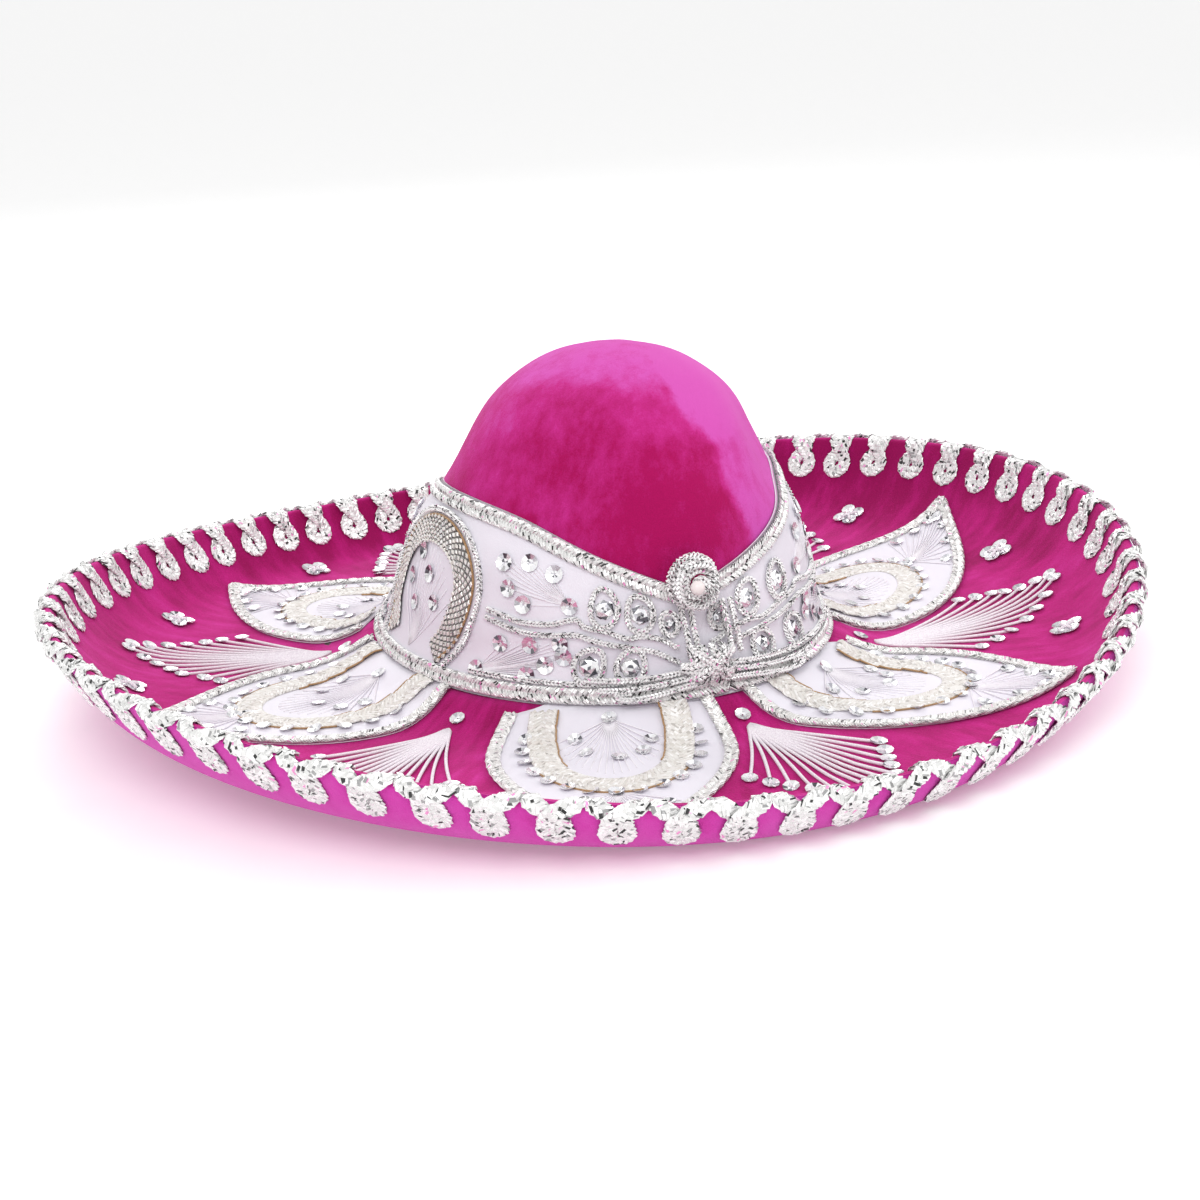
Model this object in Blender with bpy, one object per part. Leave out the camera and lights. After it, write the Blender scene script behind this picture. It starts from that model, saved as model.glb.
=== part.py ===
"""A mariachi sombrero: a domed crown, a wide brim turned up at its edge, and the pieces sewn to both.

Metres, +Z up. The origin is on the resting plane under the middle of the head opening, and the
front of the hat faces -Y. An angle round the hat is measured from the front, positive towards +X,
which is the right of someone who looks at the front.
"""

from math import atan2, copysign, cos, exp, hypot, pi, radians, sin

import bmesh
import bpy
from mathutils import Matrix, Vector

MM = 0.001

# Brim: it drops from the crown to a level floor and turns up steeply at the rim. The share of the
# way from the foot of the band to the rim is called t, and is negative under the band.
RIM_X = 274 * MM
RIM_Y = 258 * MM
FOOT_X = 116 * MM
FOOT_Y = 128 * MM
OPENING_T = -0.136
RIM_Z = 43.5 * MM
RIM_SADDLE = 16 * MM
RIM_BACK_LIFT = 5 * MM
SADDLE_POWER = 2.8
BACK_POWER = 8
CURL_POWER = 9.5
OPENING_Z = 17.5 * MM
FLOOR_Z = 6.0 * MM
DROP_T = 0.24

# Crown: two Bezier stretches of half width and height, longer than wide, leaning to the front.
CROWN_WALL = ((95, 19.5), (97, 55), (87, 94), (68, 127))
CROWN_CAP = ((68, 127), (57, 148), (32, 167), (0, 167))
CROWN_OVAL = 1.14
CROWN_LEAN = 0.172
DENT_ANGLE = radians(52)
DENT_WIDTH = radians(21)
DENT_DEPTH = 0.085
DENT_HEIGHT = 121 * MM
DENT_SPREAD = 34 * MM

# Layers, as lifts from the middle of the stiff body of the brim or crown.
BODY_HALF = 1.2 * MM
VELVET_LOW = 2.0 * MM
VELVET_HIGH = 2.6 * MM
SATIN_LOW = 3.8 * MM
SATIN_HIGH = 4.6 * MM
TRIM_LOW = 6.8 * MM
TRIM_HIGH = 8.4 * MM
LOOP_LOW = 4.9 * MM
LOOP_HIGH = 7.7 * MM
LINING_GAP = 0.5 * MM
LINING_THICK = 0.5 * MM
WIRE_RADIUS = 0.8 * MM

# Satin band round the crown: it flares over the brim and peaks at both sides.
BAND_FOOT_Z = 20.5 * MM
BAND_FOOT_X = 112 * MM
BAND_WAIST_X = 101 * MM
BAND_WAIST_Z = 47 * MM
BAND_TOP_X = 85 * MM
BAND_PEAK_Z = 107 * MM
BAND_DIP_Z = 70 * MM
BAND_THICK = 1.0 * MM
BAND_GAP = 1.3 * MM
FRONT_ANGLE = radians(-9)
BRAID_WIDE = 8 * MM
BRAID_THICK = 2.4 * MM
CORD_WIDE = 3.6 * MM
ARCH_Z = 64 * MM
ARCH_START = radians(-40)
ARCH_CORD = (radians(23), 33 * MM, 48 * MM)
ARCH_TRIM = (radians(16.5), 22 * MM, 42 * MM)
SCROLL_START = radians(64)
ROSETTE_Z = 75 * MM
ROSETTE_SIZE = (27 * MM, 9 * MM, 28 * MM)
KNOT_ANGLE = radians(-6)
KNOT_Z = 35 * MM
KNOT_SIZE = (31 * MM, 9 * MM, 17 * MM)

# Embroidery on the brim. Each petal: angle of its foot and of its tip in degrees, t of its tip.
PETALS = {
    "front_left": (-27, -27, 0.87), "front_right": (25, 41, 0.87), "right": (80, 100, 0.93),
    "back_right": (143, 155, 0.87), "back_left": (-147, -147, 0.86), "left": (-90, -90, 0.80),
}
# Each fan of thread: angle of its foot and of its tip in degrees.
FANS = {
    "front": (-1, 3), "front_right": (52, 71), "back_right": (111, 128), "back": (181, 184),
    "back_left": (-117, -117), "front_left": (-59, -59),
}
# Outline of a petal: t along its axis and half width in millimetres.
PETAL_OUTLINE = ((0.03, 46), (0.34, 72), (0.60, 36), (0.87, 0))
PETAL_BRAID_WIDE = 8 * MM
HORSESHOE_HALF = 29.5 * MM
HORSESHOE_BEND_T = 0.2
HORSESHOE_END_T = 0.5
HORSESHOE_WIDE = 14 * MM
FAN_FOOT_T = 0.14
FAN_SIDE_T = 0.5
FAN_TIP_T = 0.86
FAN_HALF_ANGLE = radians(10.5)

# The braid laced over the rim.
LOOP_COUNT = 66
LOOP_BRAID_WIDE = 6.4 * MM
# One loop of it: share of the pitch along the rim, and distance over the rim (negative inside).
LOOP_PATH = (
    (0.00, 22), (0.25, 8), (0.33, 0), (0.335, -8), (0.37, -26),
    (0.63, -26), (0.665, -8), (0.67, 0), (0.75, 8),
)

SIDES = {"left": -1, "right": 1}
BRIM_STEPS = 40
CROWN_STEPS = 32
BRIM_STATIONS = (OPENING_T, 0, 0.09, 0.24, 0.5, 0.65, 0.75, 0.83, 0.89, 0.95, 1)
CROWN_STATIONS = (0, 0.14, 0.28, 0.42, 0.56, 0.68, 0.8, 0.9, 0.97)


def bezier(points, t):
    """A point on a cubic Bezier in the plane."""
    weights = ((1 - t) ** 3, 3 * t * (1 - t) ** 2, 3 * t * t * (1 - t), t**3)
    return tuple(sum(w * p[axis] for w, p in zip(weights, points)) for axis in (0, 1))


def oval_radius(angle, half_x, half_y):
    """Distance from the middle to an ellipse, in the direction of the angle."""
    return 1 / hypot(sin(angle) / half_x, cos(angle) / half_y)


def reach(angle, t):
    """Distance from the middle of the hat to the brim at t, seen from above."""
    foot = oval_radius(angle, FOOT_X, FOOT_Y)
    return foot + (oval_radius(angle, RIM_X, RIM_Y) - foot) * t


def brim_middle(angle, t):
    """A point in the middle of the brim. Its lowest stretches, front and back, are flat."""
    out = max(t, 0)
    z = FLOOR_Z + (OPENING_Z - FLOOR_Z) * max(0, 1 - out / DROP_T) ** 2
    z += (RIM_Z - FLOOR_Z) * out**CURL_POWER
    z -= RIM_SADDLE * cos(2 * angle) * out**SADDLE_POWER
    z -= RIM_BACK_LIFT * cos(angle) * out**BACK_POWER
    radius = reach(angle, t)
    return Vector((radius * sin(angle), -radius * cos(angle), max(z, VELVET_HIGH)))


def brim_frame(angle, t):
    """The outward tangent and the upper normal of the brim."""
    step = 0.002
    outward = brim_middle(angle, t + step) - brim_middle(angle, t - step)
    along = brim_middle(angle + step, t) - brim_middle(angle - step, t)
    return outward.normalized(), outward.cross(along).normalized()


def brim_point(angle, t, lift):
    return brim_middle(angle, t) + brim_frame(angle, t)[1] * lift


def brim_at(x, y, lift):
    """The point of the brim above or below a place in plan."""
    angle = atan2(x, -y)
    foot = reach(angle, 0)
    return brim_point(angle, (hypot(x, y) - foot) / (reach(angle, 1) - foot), lift)


def share_inside_rim(angle, distance):
    """The t of a point this far inside the rim, measured along the curved brim."""
    steps, t, small = 6, 1.0, 0.002
    for _ in range(steps):
        speed = (brim_middle(angle, t) - brim_middle(angle, t - small)).length / small
        t -= distance / steps / speed
    return t


def over_rim(angle, distance, lift):
    """A point on a layer wrapped over the rim: distance is negative inside, positive outside."""
    quarter = lift * pi / 2
    if abs(distance) > quarter:
        t = share_inside_rim(angle, abs(distance) - quarter)
        return brim_point(angle, t, copysign(lift, -distance))
    outward, normal = brim_frame(angle, 1)
    turn = distance / lift
    return brim_middle(angle, 1) + (outward * cos(turn) - normal * sin(turn)) * lift


def crown_profile(u):
    """Half width and height of the crown: u is 0 at its foot, 1 at its top."""
    wall = 0.62
    x, z = bezier(CROWN_WALL, u / wall) if u < wall else bezier(CROWN_CAP, (u - wall) / (1 - wall))
    return x * MM, z * MM


def lifted(middle, angle, along, lift, step):
    """A point lifted off an upright surface, outwards along its normal."""
    round_hat = middle(angle + 0.002, along) - middle(angle - 0.002, along)
    upwards = middle(angle, along + step) - middle(angle, along - step)
    return middle(angle, along) + round_hat.cross(upwards).normalized() * lift


def crown_middle(angle, u):
    """A point in the middle of the crown, with four shallow dents blocked into its shoulders."""
    half, z = crown_profile(u)
    near = exp(-(((z - DENT_HEIGHT) / DENT_SPREAD) ** 2))
    from_side = abs(abs(atan2(sin(angle), cos(angle))) - pi / 2)
    dent = exp(-(((pi / 2 - DENT_ANGLE - from_side) / DENT_WIDTH) ** 2))
    half *= 1 - DENT_DEPTH * near * dent
    lean = CROWN_LEAN * (z - CROWN_WALL[0][1] * MM)
    return Vector((half * sin(angle), -half * CROWN_OVAL * cos(angle) - lean, z))


def crown_point(angle, u, lift):
    return lifted(crown_middle, angle, u, lift, 0.004)


def band_middle(angle, z):
    """A point of the satin band, which flares at its foot."""
    if z < BAND_WAIST_Z:
        fall = (BAND_WAIST_Z - z) / (BAND_WAIST_Z - BAND_FOOT_Z)
        half = BAND_WAIST_X + (BAND_FOOT_X - BAND_WAIST_X) * fall**1.6
    else:
        rise = (z - BAND_WAIST_Z) / (BAND_PEAK_Z - BAND_WAIST_Z)
        half = BAND_WAIST_X + (BAND_TOP_X - BAND_WAIST_X) * rise
    lean = CROWN_LEAN * max(0, z - BAND_FOOT_Z)
    return Vector((half * sin(angle), -half * CROWN_OVAL * cos(angle) - lean, z))


def band_point(angle, z, lift):
    return lifted(band_middle, angle, z, lift, 0.5 * MM)


def band_top(angle):
    """Height of the band's upper edge: a V under the rosette and at the back, a peak at each side."""
    turn = atan2(sin(angle), cos(angle))
    dip = FRONT_ANGLE if abs(turn) < pi / 2 else copysign(pi, turn)
    share = (turn - dip) / (copysign(pi / 2, turn - dip) - dip if dip == FRONT_ANGLE else pi / 2)
    return BAND_DIP_Z + (BAND_PEAK_Z - BAND_DIP_Z) * sin(pi / 2 * abs(share))


def band_height(angle, station):
    """Height on the band: 0 is its foot, 1 and 5 are the inner edges of its braids, 6 is its top."""
    low = BAND_FOOT_Z + BRAID_WIDE
    high = band_top(angle) - BRAID_WIDE
    if station < 1:
        return BAND_FOOT_Z + BRAID_WIDE * station
    if station > 5:
        return high + BRAID_WIDE * (station - 5)
    return low + (high - low) * ((station - 1) / 4) ** 1.3


def material(name, colour, roughness, metallic=0.0):
    made = bpy.data.materials.new(name)
    made.use_nodes = True
    shader = made.node_tree.nodes["Principled BSDF"]
    shader.inputs["Base Color"].default_value = (*colour, 1)
    shader.inputs["Roughness"].default_value = roughness
    shader.inputs["Metallic"].default_value = metallic
    return made


def add_object(name, mesh, finish):
    mesh.materials.append(finish)
    made = bpy.data.objects.new(name, mesh)
    bpy.context.scene.collection.objects.link(made)
    made.parent = HAT
    return made


def solid_between(name, low, high, stations, columns, closed, finish):
    """A closed sheet between two surfaces, each a function of (row station, column share)."""
    shape = bmesh.new()
    grids = []
    rows = len(stations) - 1
    wide = columns if closed else columns + 1
    for surface in (low, high):
        grids.append([[shape.verts.new(surface(station, j / columns)) for j in range(wide)]
                      for station in stations])
    for side, grid in enumerate(grids):
        for i in range(rows):
            for j in range(columns):
                k = (j + 1) % wide
                corners = (grid[i][j], grid[i][k], grid[i + 1][k], grid[i + 1][j])
                shape.faces.new(corners if side else corners[::-1])
    border = [((0, j), (0, (j + 1) % wide)) for j in range(columns)]
    border += [((rows, (j + 1) % wide), (rows, j)) for j in range(columns)]
    if not closed:
        border += [((i + 1, 0), (i, 0)) for i in range(rows)]
        border += [((i, columns), (i + 1, columns)) for i in range(rows)]
    for (ai, aj), (bi, bj) in border:
        bottom, top = grids
        shape.faces.new((bottom[ai][aj], bottom[bi][bj], top[bi][bj], top[ai][aj]))
    bmesh.ops.recalc_face_normals(shape, faces=shape.faces)
    mesh = bpy.data.meshes.new(name)
    shape.to_mesh(mesh)
    shape.free()
    mesh.shade_smooth()
    mesh.set_sharp_from_angle(angle=radians(40))
    return add_object(name, mesh, finish)


def ribbon(name, places, surface, width, low, high, closed, finish):
    """A flat strip along a path: places are pairs that surface(a, b, lift) turns into points."""
    count = len(places)
    middle = (low + high) / 2
    points = [surface(*place, middle) for place in places]
    shape = bmesh.new()
    rings = []
    for i in range(count):
        before = points[i - 1] if closed or i else points[i]
        after = points[(i + 1) % count] if closed or i < count - 1 else points[i]
        up = (surface(*places[i], high) - surface(*places[i], low)).normalized()
        side = (after - before).cross(up).normalized() * width / 2
        lift = up * (high - low) / 2
        corners = (-side - lift, side - lift, side + lift, -side + lift)
        rings.append([shape.verts.new(points[i] + corner) for corner in corners])
    for i in range(count if closed else count - 1):
        ring, following = rings[i], rings[(i + 1) % count]
        for a in range(4):
            b = (a + 1) % 4
            shape.faces.new((ring[a], ring[b], following[b], following[a]))
    if not closed:
        shape.faces.new(rings[0][::-1])
        shape.faces.new(rings[-1])
    bmesh.ops.recalc_face_normals(shape, faces=shape.faces)
    mesh = bpy.data.meshes.new(name)
    shape.to_mesh(mesh)
    shape.free()
    return add_object(name, mesh, finish)


def cord(name, points, radius, closed, finish, sides=0):
    """A round cord through the points, as a bevelled curve turned into a mesh."""
    curve = bpy.data.curves.new(name, "CURVE")
    curve.dimensions = "3D"
    curve.bevel_depth = radius
    curve.bevel_resolution = sides
    curve.use_fill_caps = not closed
    spline = curve.splines.new("POLY")
    spline.points.add(len(points) - 1)
    for point, place in zip(spline.points, points):
        point.co = (*place, 1)
    spline.use_cyclic_u = closed
    curve.materials.append(finish)
    made = bpy.data.objects.new(name, curve)
    bpy.context.scene.collection.objects.link(made)
    made.parent = HAT
    return made


def make_brim():
    def sheet(lift, start, end):
        def place(t, j):
            return brim_point(2 * pi * j, min(max(t, start), end), lift)
        return place

    for name, low, high, start, end, finish in (
        ("brim_body", -BODY_HALF, BODY_HALF, OPENING_T, 0.985, FELT),
        ("brim_velvet_top", VELVET_LOW, VELVET_HIGH, -0.09, 1, VELVET),
        ("brim_velvet_under", -VELVET_HIGH, -VELVET_LOW, -0.12, 1, VELVET),
    ):
        solid_between(name, sheet(low, start, end), sheet(high, start, end),
                      BRIM_STATIONS, BRIM_STEPS, True, finish)
    ring = [brim_middle(2 * pi * k / BRIM_STEPS, 1) for k in range(BRIM_STEPS)]
    cord("rim_wire", ring, WIRE_RADIUS, True, STEEL)


def make_rim_braid():
    pitch = 2 * pi / LOOP_COUNT
    places = [((loop + share) * pitch, reach * MM)
              for loop in range(LOOP_COUNT) for share, reach in LOOP_PATH]
    ribbon("rim_braid", places, over_rim, LOOP_BRAID_WIDE, LOOP_LOW, LOOP_HIGH, True, SILVER)


def make_crown():
    def sheet(lift):
        return lambda u, j: crown_point(2 * pi * j, u, lift)

    inside = -BODY_HALF - LINING_GAP
    for name, low, high, first, finish in (
        ("crown_body", -BODY_HALF, BODY_HALF, 0, FELT),
        ("crown_velvet", VELVET_LOW, VELVET_HIGH, 0, VELVET),
        ("crown_lining", inside - LINING_THICK, inside, 2, LINING),
    ):
        dome(name, sheet(low), sheet(high), CROWN_STATIONS[first:], CROWN_STEPS, finish)


def dome(name, low, high, stations, columns, finish):
    """A shell open at its foot and closed at its top by one face on each side."""
    shape = bmesh.new()
    feet = []
    for surface in (low, high):
        rings = [[shape.verts.new(surface(station, j / columns)) for j in range(columns)]
                 for station in stations]
        for lower, upper in zip(rings, rings[1:]):
            for j in range(columns):
                k = (j + 1) % columns
                shape.faces.new((lower[j], lower[k], upper[k], upper[j]))
        shape.faces.new(rings[-1])
        feet.append(rings[0])
    for j in range(columns):
        k = (j + 1) % columns
        shape.faces.new((feet[0][j], feet[0][k], feet[1][k], feet[1][j]))
    bmesh.ops.recalc_face_normals(shape, faces=shape.faces)
    mesh = bpy.data.meshes.new(name)
    shape.to_mesh(mesh)
    shape.free()
    mesh.shade_smooth()
    mesh.set_sharp_from_angle(angle=radians(40))
    return add_object(name, mesh, finish)


def make_sweatband():
    """A leather band inside the head opening, just clear of the crown."""
    bottom, height, gap, thick = 21 * MM, 32 * MM, 2.4 * MM, 1.2 * MM

    def wall(inset):
        def place(i, j):
            angle = 2 * pi * j
            half = CROWN_WALL[0][0] * MM - BODY_HALF - gap - inset - 1.2 * MM * i
            lean = CROWN_LEAN * (height * i)
            return Vector((half * sin(angle), -half * CROWN_OVAL * cos(angle) - lean,
                           bottom + 3 * MM + height * i))
        return place

    solid_between("sweatband", wall(thick), wall(0), (0, 1), CROWN_STEPS, True, LEATHER)


def make_band():
    def sheet(lift):
        return lambda station, j: band_point(2 * pi * j, band_height(2 * pi * j, station), lift)

    low = BAND_THICK + 0.5 * MM
    high = low + BRAID_THICK
    for name, inner, outer, stations, finish in (
        ("band_panel", 0, BAND_THICK, (0, 1, 2, 3, 4, 5, 6), SATIN),
        ("band_foot_braid", low, high, (0, 1), SILVER),
        ("band_top_braid", low, high, (5, 6), SILVER),
    ):
        solid_between(name, sheet(inner), sheet(outer), stations, BRIM_STEPS, True, finish)


def make_side_arches():
    """On each side of the band, an arch of woven trim with a cord laid round it.

    Each arch is an oval, open at its foot: half angle, reach above and reach below its centre.
    """
    low = BAND_THICK + BAND_GAP
    steps = 12
    for name, side in SIDES.items():
        for part, (half_angle, above, below), wide, thick, finish in (
            ("arch_trim", ARCH_TRIM, 13 * MM, 1.2 * MM, MESH_TRIM),
            ("arch_cord", ARCH_CORD, CORD_WIDE, BRAID_THICK, SILVER),
        ):
            places = []
            for k in range(steps + 1):
                turn = ARCH_START + (pi - 2 * ARCH_START) * k / steps
                z = ARCH_Z + (above if turn > 0 and turn < pi else below) * sin(turn)
                places.append((side * pi / 2 - half_angle * cos(turn), z))
            ribbon(f"{part}_{name}", places, band_point, wide, low, low + thick, False, finish)


def make_scrolls():
    """Cords couched across the front and rear quarters of the band, one high and one low.

    Each runs from the arch (share 0) to the middle of the front or back (share 1).
    """
    low = BAND_THICK + BAND_GAP
    rows = {
        "upper": ((0.03, 60.5), (0.2, 57.5), (0.42, 60), (0.6, 56.5), (0.82, 52.5)),
        "lower": ((0.03, 55), (0.2, 51.5), (0.42, 52.5), (0.6, 49), (0.8, 45.5)),
    }
    for side_name, side in SIDES.items():
        for end_name, middle in (("front", FRONT_ANGLE), ("rear", pi * side)):
            start = side * (SCROLL_START if end_name == "front" else pi - SCROLL_START)
            for row, stations in rows.items():
                places = [(start + (middle - start) * share, z * MM) for share, z in stations]
                ribbon(f"scroll_{row}_{end_name}_{side_name}", places, band_point,
                       CORD_WIDE, low, low + BRAID_THICK, False, SILVER)


def make_front_ornament():
    """The rosette on the front dip, the knot below it, and the cords that tie them."""
    turn = Matrix.Rotation(FRONT_ANGLE, 3, "Z")
    lift = BAND_THICK + BRAID_THICK + 5.4 * MM
    rosette = band_point(FRONT_ANGLE, ROSETTE_Z, lift)
    knot = band_point(KNOT_ANGLE, KNOT_Z, lift)
    for name, centre, size in (
        ("front_rosette", rosette, ROSETTE_SIZE),
        ("front_knot", knot, KNOT_SIZE),
    ):
        shape = bmesh.new()
        bmesh.ops.create_uvsphere(shape, u_segments=14, v_segments=8, radius=0.5)
        for vertex in shape.verts:
            vertex.co = turn @ Vector(a * b for a, b in zip(vertex.co, size))
        mesh = bpy.data.meshes.new(name)
        shape.to_mesh(mesh)
        shape.free()
        mesh.shade_smooth()
        add_object(name, mesh, SILVER).location = centre
    radius = CORD_WIDE / 2
    gap = 1 * MM
    for name, side in SIDES.items():
        across = turn @ Vector((side * 7 * MM, 0, 0))
        high = rosette + across - Vector((0, 0, ROSETTE_SIZE[2] / 2 + gap))
        low = knot + across + Vector((0, 0, KNOT_SIZE[2] / 2 + gap))
        cord(f"tie_cord_{name}", [high, low], radius, False, SILVER)
        over_braid = BAND_THICK + BRAID_THICK + 1.1 * MM + radius
        sweep = ((10.5, 34), (18, 31.5), (27, 30), (36, 30))
        points = [band_point(KNOT_ANGLE + side * radians(a), z * MM, over_braid) for a, z in sweep]
        cord(f"foot_cord_{name}", points, radius, False, SILVER)


def petal_place(petal, t, across):
    """Plan position of a point of a petal: t along its axis, and a distance across it."""
    foot, tip, length = petal
    angle = radians(foot + (tip - foot) * t / length)
    along = reach(angle, t)
    return along * sin(angle) + across * cos(angle), -along * cos(angle) + across * sin(angle)


def make_petals():
    for name, petal in PETALS.items():
        stretch = petal[2] / PETAL_OUTLINE[-1][0]

        def on_brim(t, across, lift, petal=petal):
            return brim_at(*petal_place(petal, t, across), lift)

        def sheet(lift, on_brim=on_brim, stretch=stretch):
            def place(share, j):
                t, half = bezier(PETAL_OUTLINE, share)
                return on_brim(t * stretch, half * MM * (2 * j - 1), lift)
            return place

        solid_between(f"petal_satin_{name}", sheet(SATIN_LOW), sheet(SATIN_HIGH),
                      (0, 0.2, 0.4, 0.55, 0.7, 0.85, 0.97), 5, False, SATIN)
        inset = PETAL_BRAID_WIDE / 2
        outline = []
        steps = 9
        for k in range(-steps, steps + 1):
            t, half = bezier(PETAL_OUTLINE, 1 - abs(k) / steps)
            outline.append((t * stretch, max(0, half * MM - inset) * copysign(1, k)))
        ribbon(f"petal_braid_{name}", outline, on_brim, PETAL_BRAID_WIDE, TRIM_LOW, TRIM_HIGH,
               False, SILVER)
        shoe = [(PETAL_OUTLINE[0][0], -HORSESHOE_HALF)]
        for k in range(9):
            turn = pi * k / 8
            t = HORSESHOE_BEND_T + (HORSESHOE_END_T - HORSESHOE_BEND_T) * sin(turn)
            shoe.append((t, -HORSESHOE_HALF * cos(turn)))
        shoe.append((PETAL_OUTLINE[0][0], HORSESHOE_HALF))
        ribbon(f"petal_horseshoe_{name}", shoe, on_brim, HORSESHOE_WIDE, TRIM_LOW,
               TRIM_LOW + 1.2 * MM, False, MESH_TRIM)


def make_fans():
    """The stitched fans between the petals, each a thin kite of couched thread."""
    for name, (foot, tip) in FANS.items():
        def sheet(lift, foot=radians(foot), tip=radians(tip)):
            def place(share, j):
                across = 2 * j - 1
                end = FAN_TIP_T + (FAN_SIDE_T - FAN_TIP_T) * abs(across)
                t = FAN_FOOT_T + (end - FAN_FOOT_T) * share
                middle = foot + (tip - foot) * (t - FAN_FOOT_T) / (FAN_TIP_T - FAN_FOOT_T)
                return brim_point(middle + FAN_HALF_ANGLE * across * max(share, 0.12), t, lift)
            return place

        solid_between(f"fan_stitching_{name}", sheet(SATIN_LOW), sheet(SATIN_HIGH),
                      (0, 0.2, 0.44, 0.7, 1), 6, False, THREAD)


for leftover in list(bpy.data.objects):
    bpy.data.objects.remove(leftover)
HAT = bpy.data.objects.new("sombrero", None)
bpy.context.scene.collection.objects.link(HAT)
VELVET = material("velvet", (0.62, 0.015, 0.24), 0.85)
FELT = material("stiff_felt", (0.16, 0.13, 0.12), 0.9)
SATIN = material("satin", (0.86, 0.83, 0.90), 0.5)
SILVER = material("silver_braid", (0.86, 0.86, 0.85), 0.25, 0.9)
MESH_TRIM = material("woven_trim", (0.82, 0.79, 0.73), 0.5, 0.4)
THREAD = material("thread", (0.93, 0.88, 0.92), 0.7)
STEEL = material("steel_wire", (0.5, 0.5, 0.5), 0.4, 1.0)
LEATHER = material("sweatband_leather", (0.05, 0.035, 0.03), 0.6)
LINING = material("lining", (0.85, 0.85, 0.85), 0.6)

make_brim()
make_rim_braid()
make_crown()
make_sweatband()
make_band()
make_side_arches()
make_scrolls()
make_front_ornament()
make_petals()
make_fans()
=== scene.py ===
"""Looks of the mariachi sombrero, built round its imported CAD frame.

Metres, +Z up, the front of the hat towards -Y. An angle round the hat is measured from the front,
positive towards +X. Each surface is a function of two coordinates and a lift, so that cloth, braid,
thread and sequins all follow the same shape as the solids.
"""

from collections import namedtuple
from math import cos, pi, radians, sin

import bpy
import numpy as np
from mathutils import Matrix, Vector


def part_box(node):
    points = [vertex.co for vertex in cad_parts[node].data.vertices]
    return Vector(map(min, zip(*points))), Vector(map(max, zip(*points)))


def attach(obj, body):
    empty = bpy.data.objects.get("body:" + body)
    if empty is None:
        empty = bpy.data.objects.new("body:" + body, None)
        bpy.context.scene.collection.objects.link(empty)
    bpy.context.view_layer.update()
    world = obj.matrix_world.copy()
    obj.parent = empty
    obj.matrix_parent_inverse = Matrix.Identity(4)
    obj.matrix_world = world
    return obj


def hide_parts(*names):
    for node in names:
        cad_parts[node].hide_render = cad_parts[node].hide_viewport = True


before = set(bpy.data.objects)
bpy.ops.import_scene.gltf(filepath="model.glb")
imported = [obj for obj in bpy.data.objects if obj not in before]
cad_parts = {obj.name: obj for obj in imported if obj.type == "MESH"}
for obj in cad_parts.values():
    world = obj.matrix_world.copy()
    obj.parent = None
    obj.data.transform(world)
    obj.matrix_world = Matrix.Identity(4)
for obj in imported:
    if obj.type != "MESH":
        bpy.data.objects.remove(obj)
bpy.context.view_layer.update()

MM = 0.001
RNG = np.random.default_rng(11)

# Brim
RIM_X = 274 * MM
RIM_Y = 258 * MM
FOOT_X = 116 * MM
FOOT_Y = 128 * MM
RIM_Z = 43.5 * MM
RIM_SADDLE = 16 * MM
RIM_BACK_LIFT = 5 * MM
SADDLE_POWER = 2.8
BACK_POWER = 8
CURL_POWER = 9.5
OPENING_Z = 17.5 * MM
FLOOR_Z = 6.0 * MM
DROP_T = 0.24

# Crown
CROWN_WALL = ((95, 19.5), (97, 55), (87, 94), (68, 127))
CROWN_CAP = ((68, 127), (57, 148), (32, 167), (0, 167))
CROWN_WALL_SHARE = 0.62
CROWN_OVAL = 1.14
CROWN_LEAN = 0.172
DENT_ANGLE = radians(52)
DENT_WIDTH = radians(21)
DENT_DEPTH = 0.085
DENT_HEIGHT = 121 * MM
DENT_SPREAD = 34 * MM

# Lifts of the cloth layers from the middle of the stiff body
VELVET_LOW = 2.0 * MM
VELVET_HIGH = 2.6 * MM
SATIN_LOW = 2.8 * MM
SATIN_EDGE = 3.4 * MM
SATIN_PAD = 1.0 * MM
TRIM_LIFT = 4.6 * MM

# Band
BAND_FOOT_Z = 20.5 * MM
BAND_FOOT_X = 112 * MM
BAND_WAIST_X = 101 * MM
BAND_WAIST_Z = 47 * MM
BAND_TOP_X = 85 * MM
BAND_PEAK_Z = 107 * MM
BAND_DIP_Z = 70 * MM
BAND_BRAID = 8 * MM
BAND_DRAW = 30 * MM
FRONT = radians(-9)
QUARTER_START = radians(64)

# Embroidery
# Each petal: angle of its foot and of its tip in degrees, t of its tip.
PETALS = {
    "front_left": (-27, -27, 0.87), "front_right": (25, 41, 0.87), "right": (80, 100, 0.93),
    "back_right": (143, 155, 0.87), "back_left": (-147, -147, 0.86), "left": (-90, -90, 0.80),
}
# Each fan of thread: angle of its foot and of its tip in degrees.
FANS = {
    "front": (-1, 3), "front_right": (52, 71), "back_right": (111, 128), "back": (181, 184),
    "back_left": (-117, -117), "front_left": (-59, -59),
}
PETAL_OUTLINE = ((-0.055, 48), (0.34, 75), (0.62, 38), (0.87, 0))
FAN_FOOT_T = 0.13
FAN_SIDE_T = 0.5
FAN_TIP_T = 0.85
FAN_HALF_ANGLE = radians(10.5)
FLOWER_T = 0.79
FLOWER_OFFSET = radians(14.4)
FLOWER_REACH = 5.1 * MM
BRIM_WIDTH = 150 * MM
SEQUIN = 4.0 * MM
BAND_SEQUIN = 4.3 * MM

LOOP_COUNT = 66
SIDES = {"left": -1, "right": 1}


# ---- Small vector helpers ----


def unit(vectors):
    return vectors / np.maximum(np.linalg.norm(vectors, axis=-1, keepdims=True), 1e-12)


def xyz(x, y, z):
    return np.stack(np.broadcast_arrays(x, y, z), -1).astype(float)


def lift_by(normal, lift):
    return normal * np.asarray(lift, float)[..., None]


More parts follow.
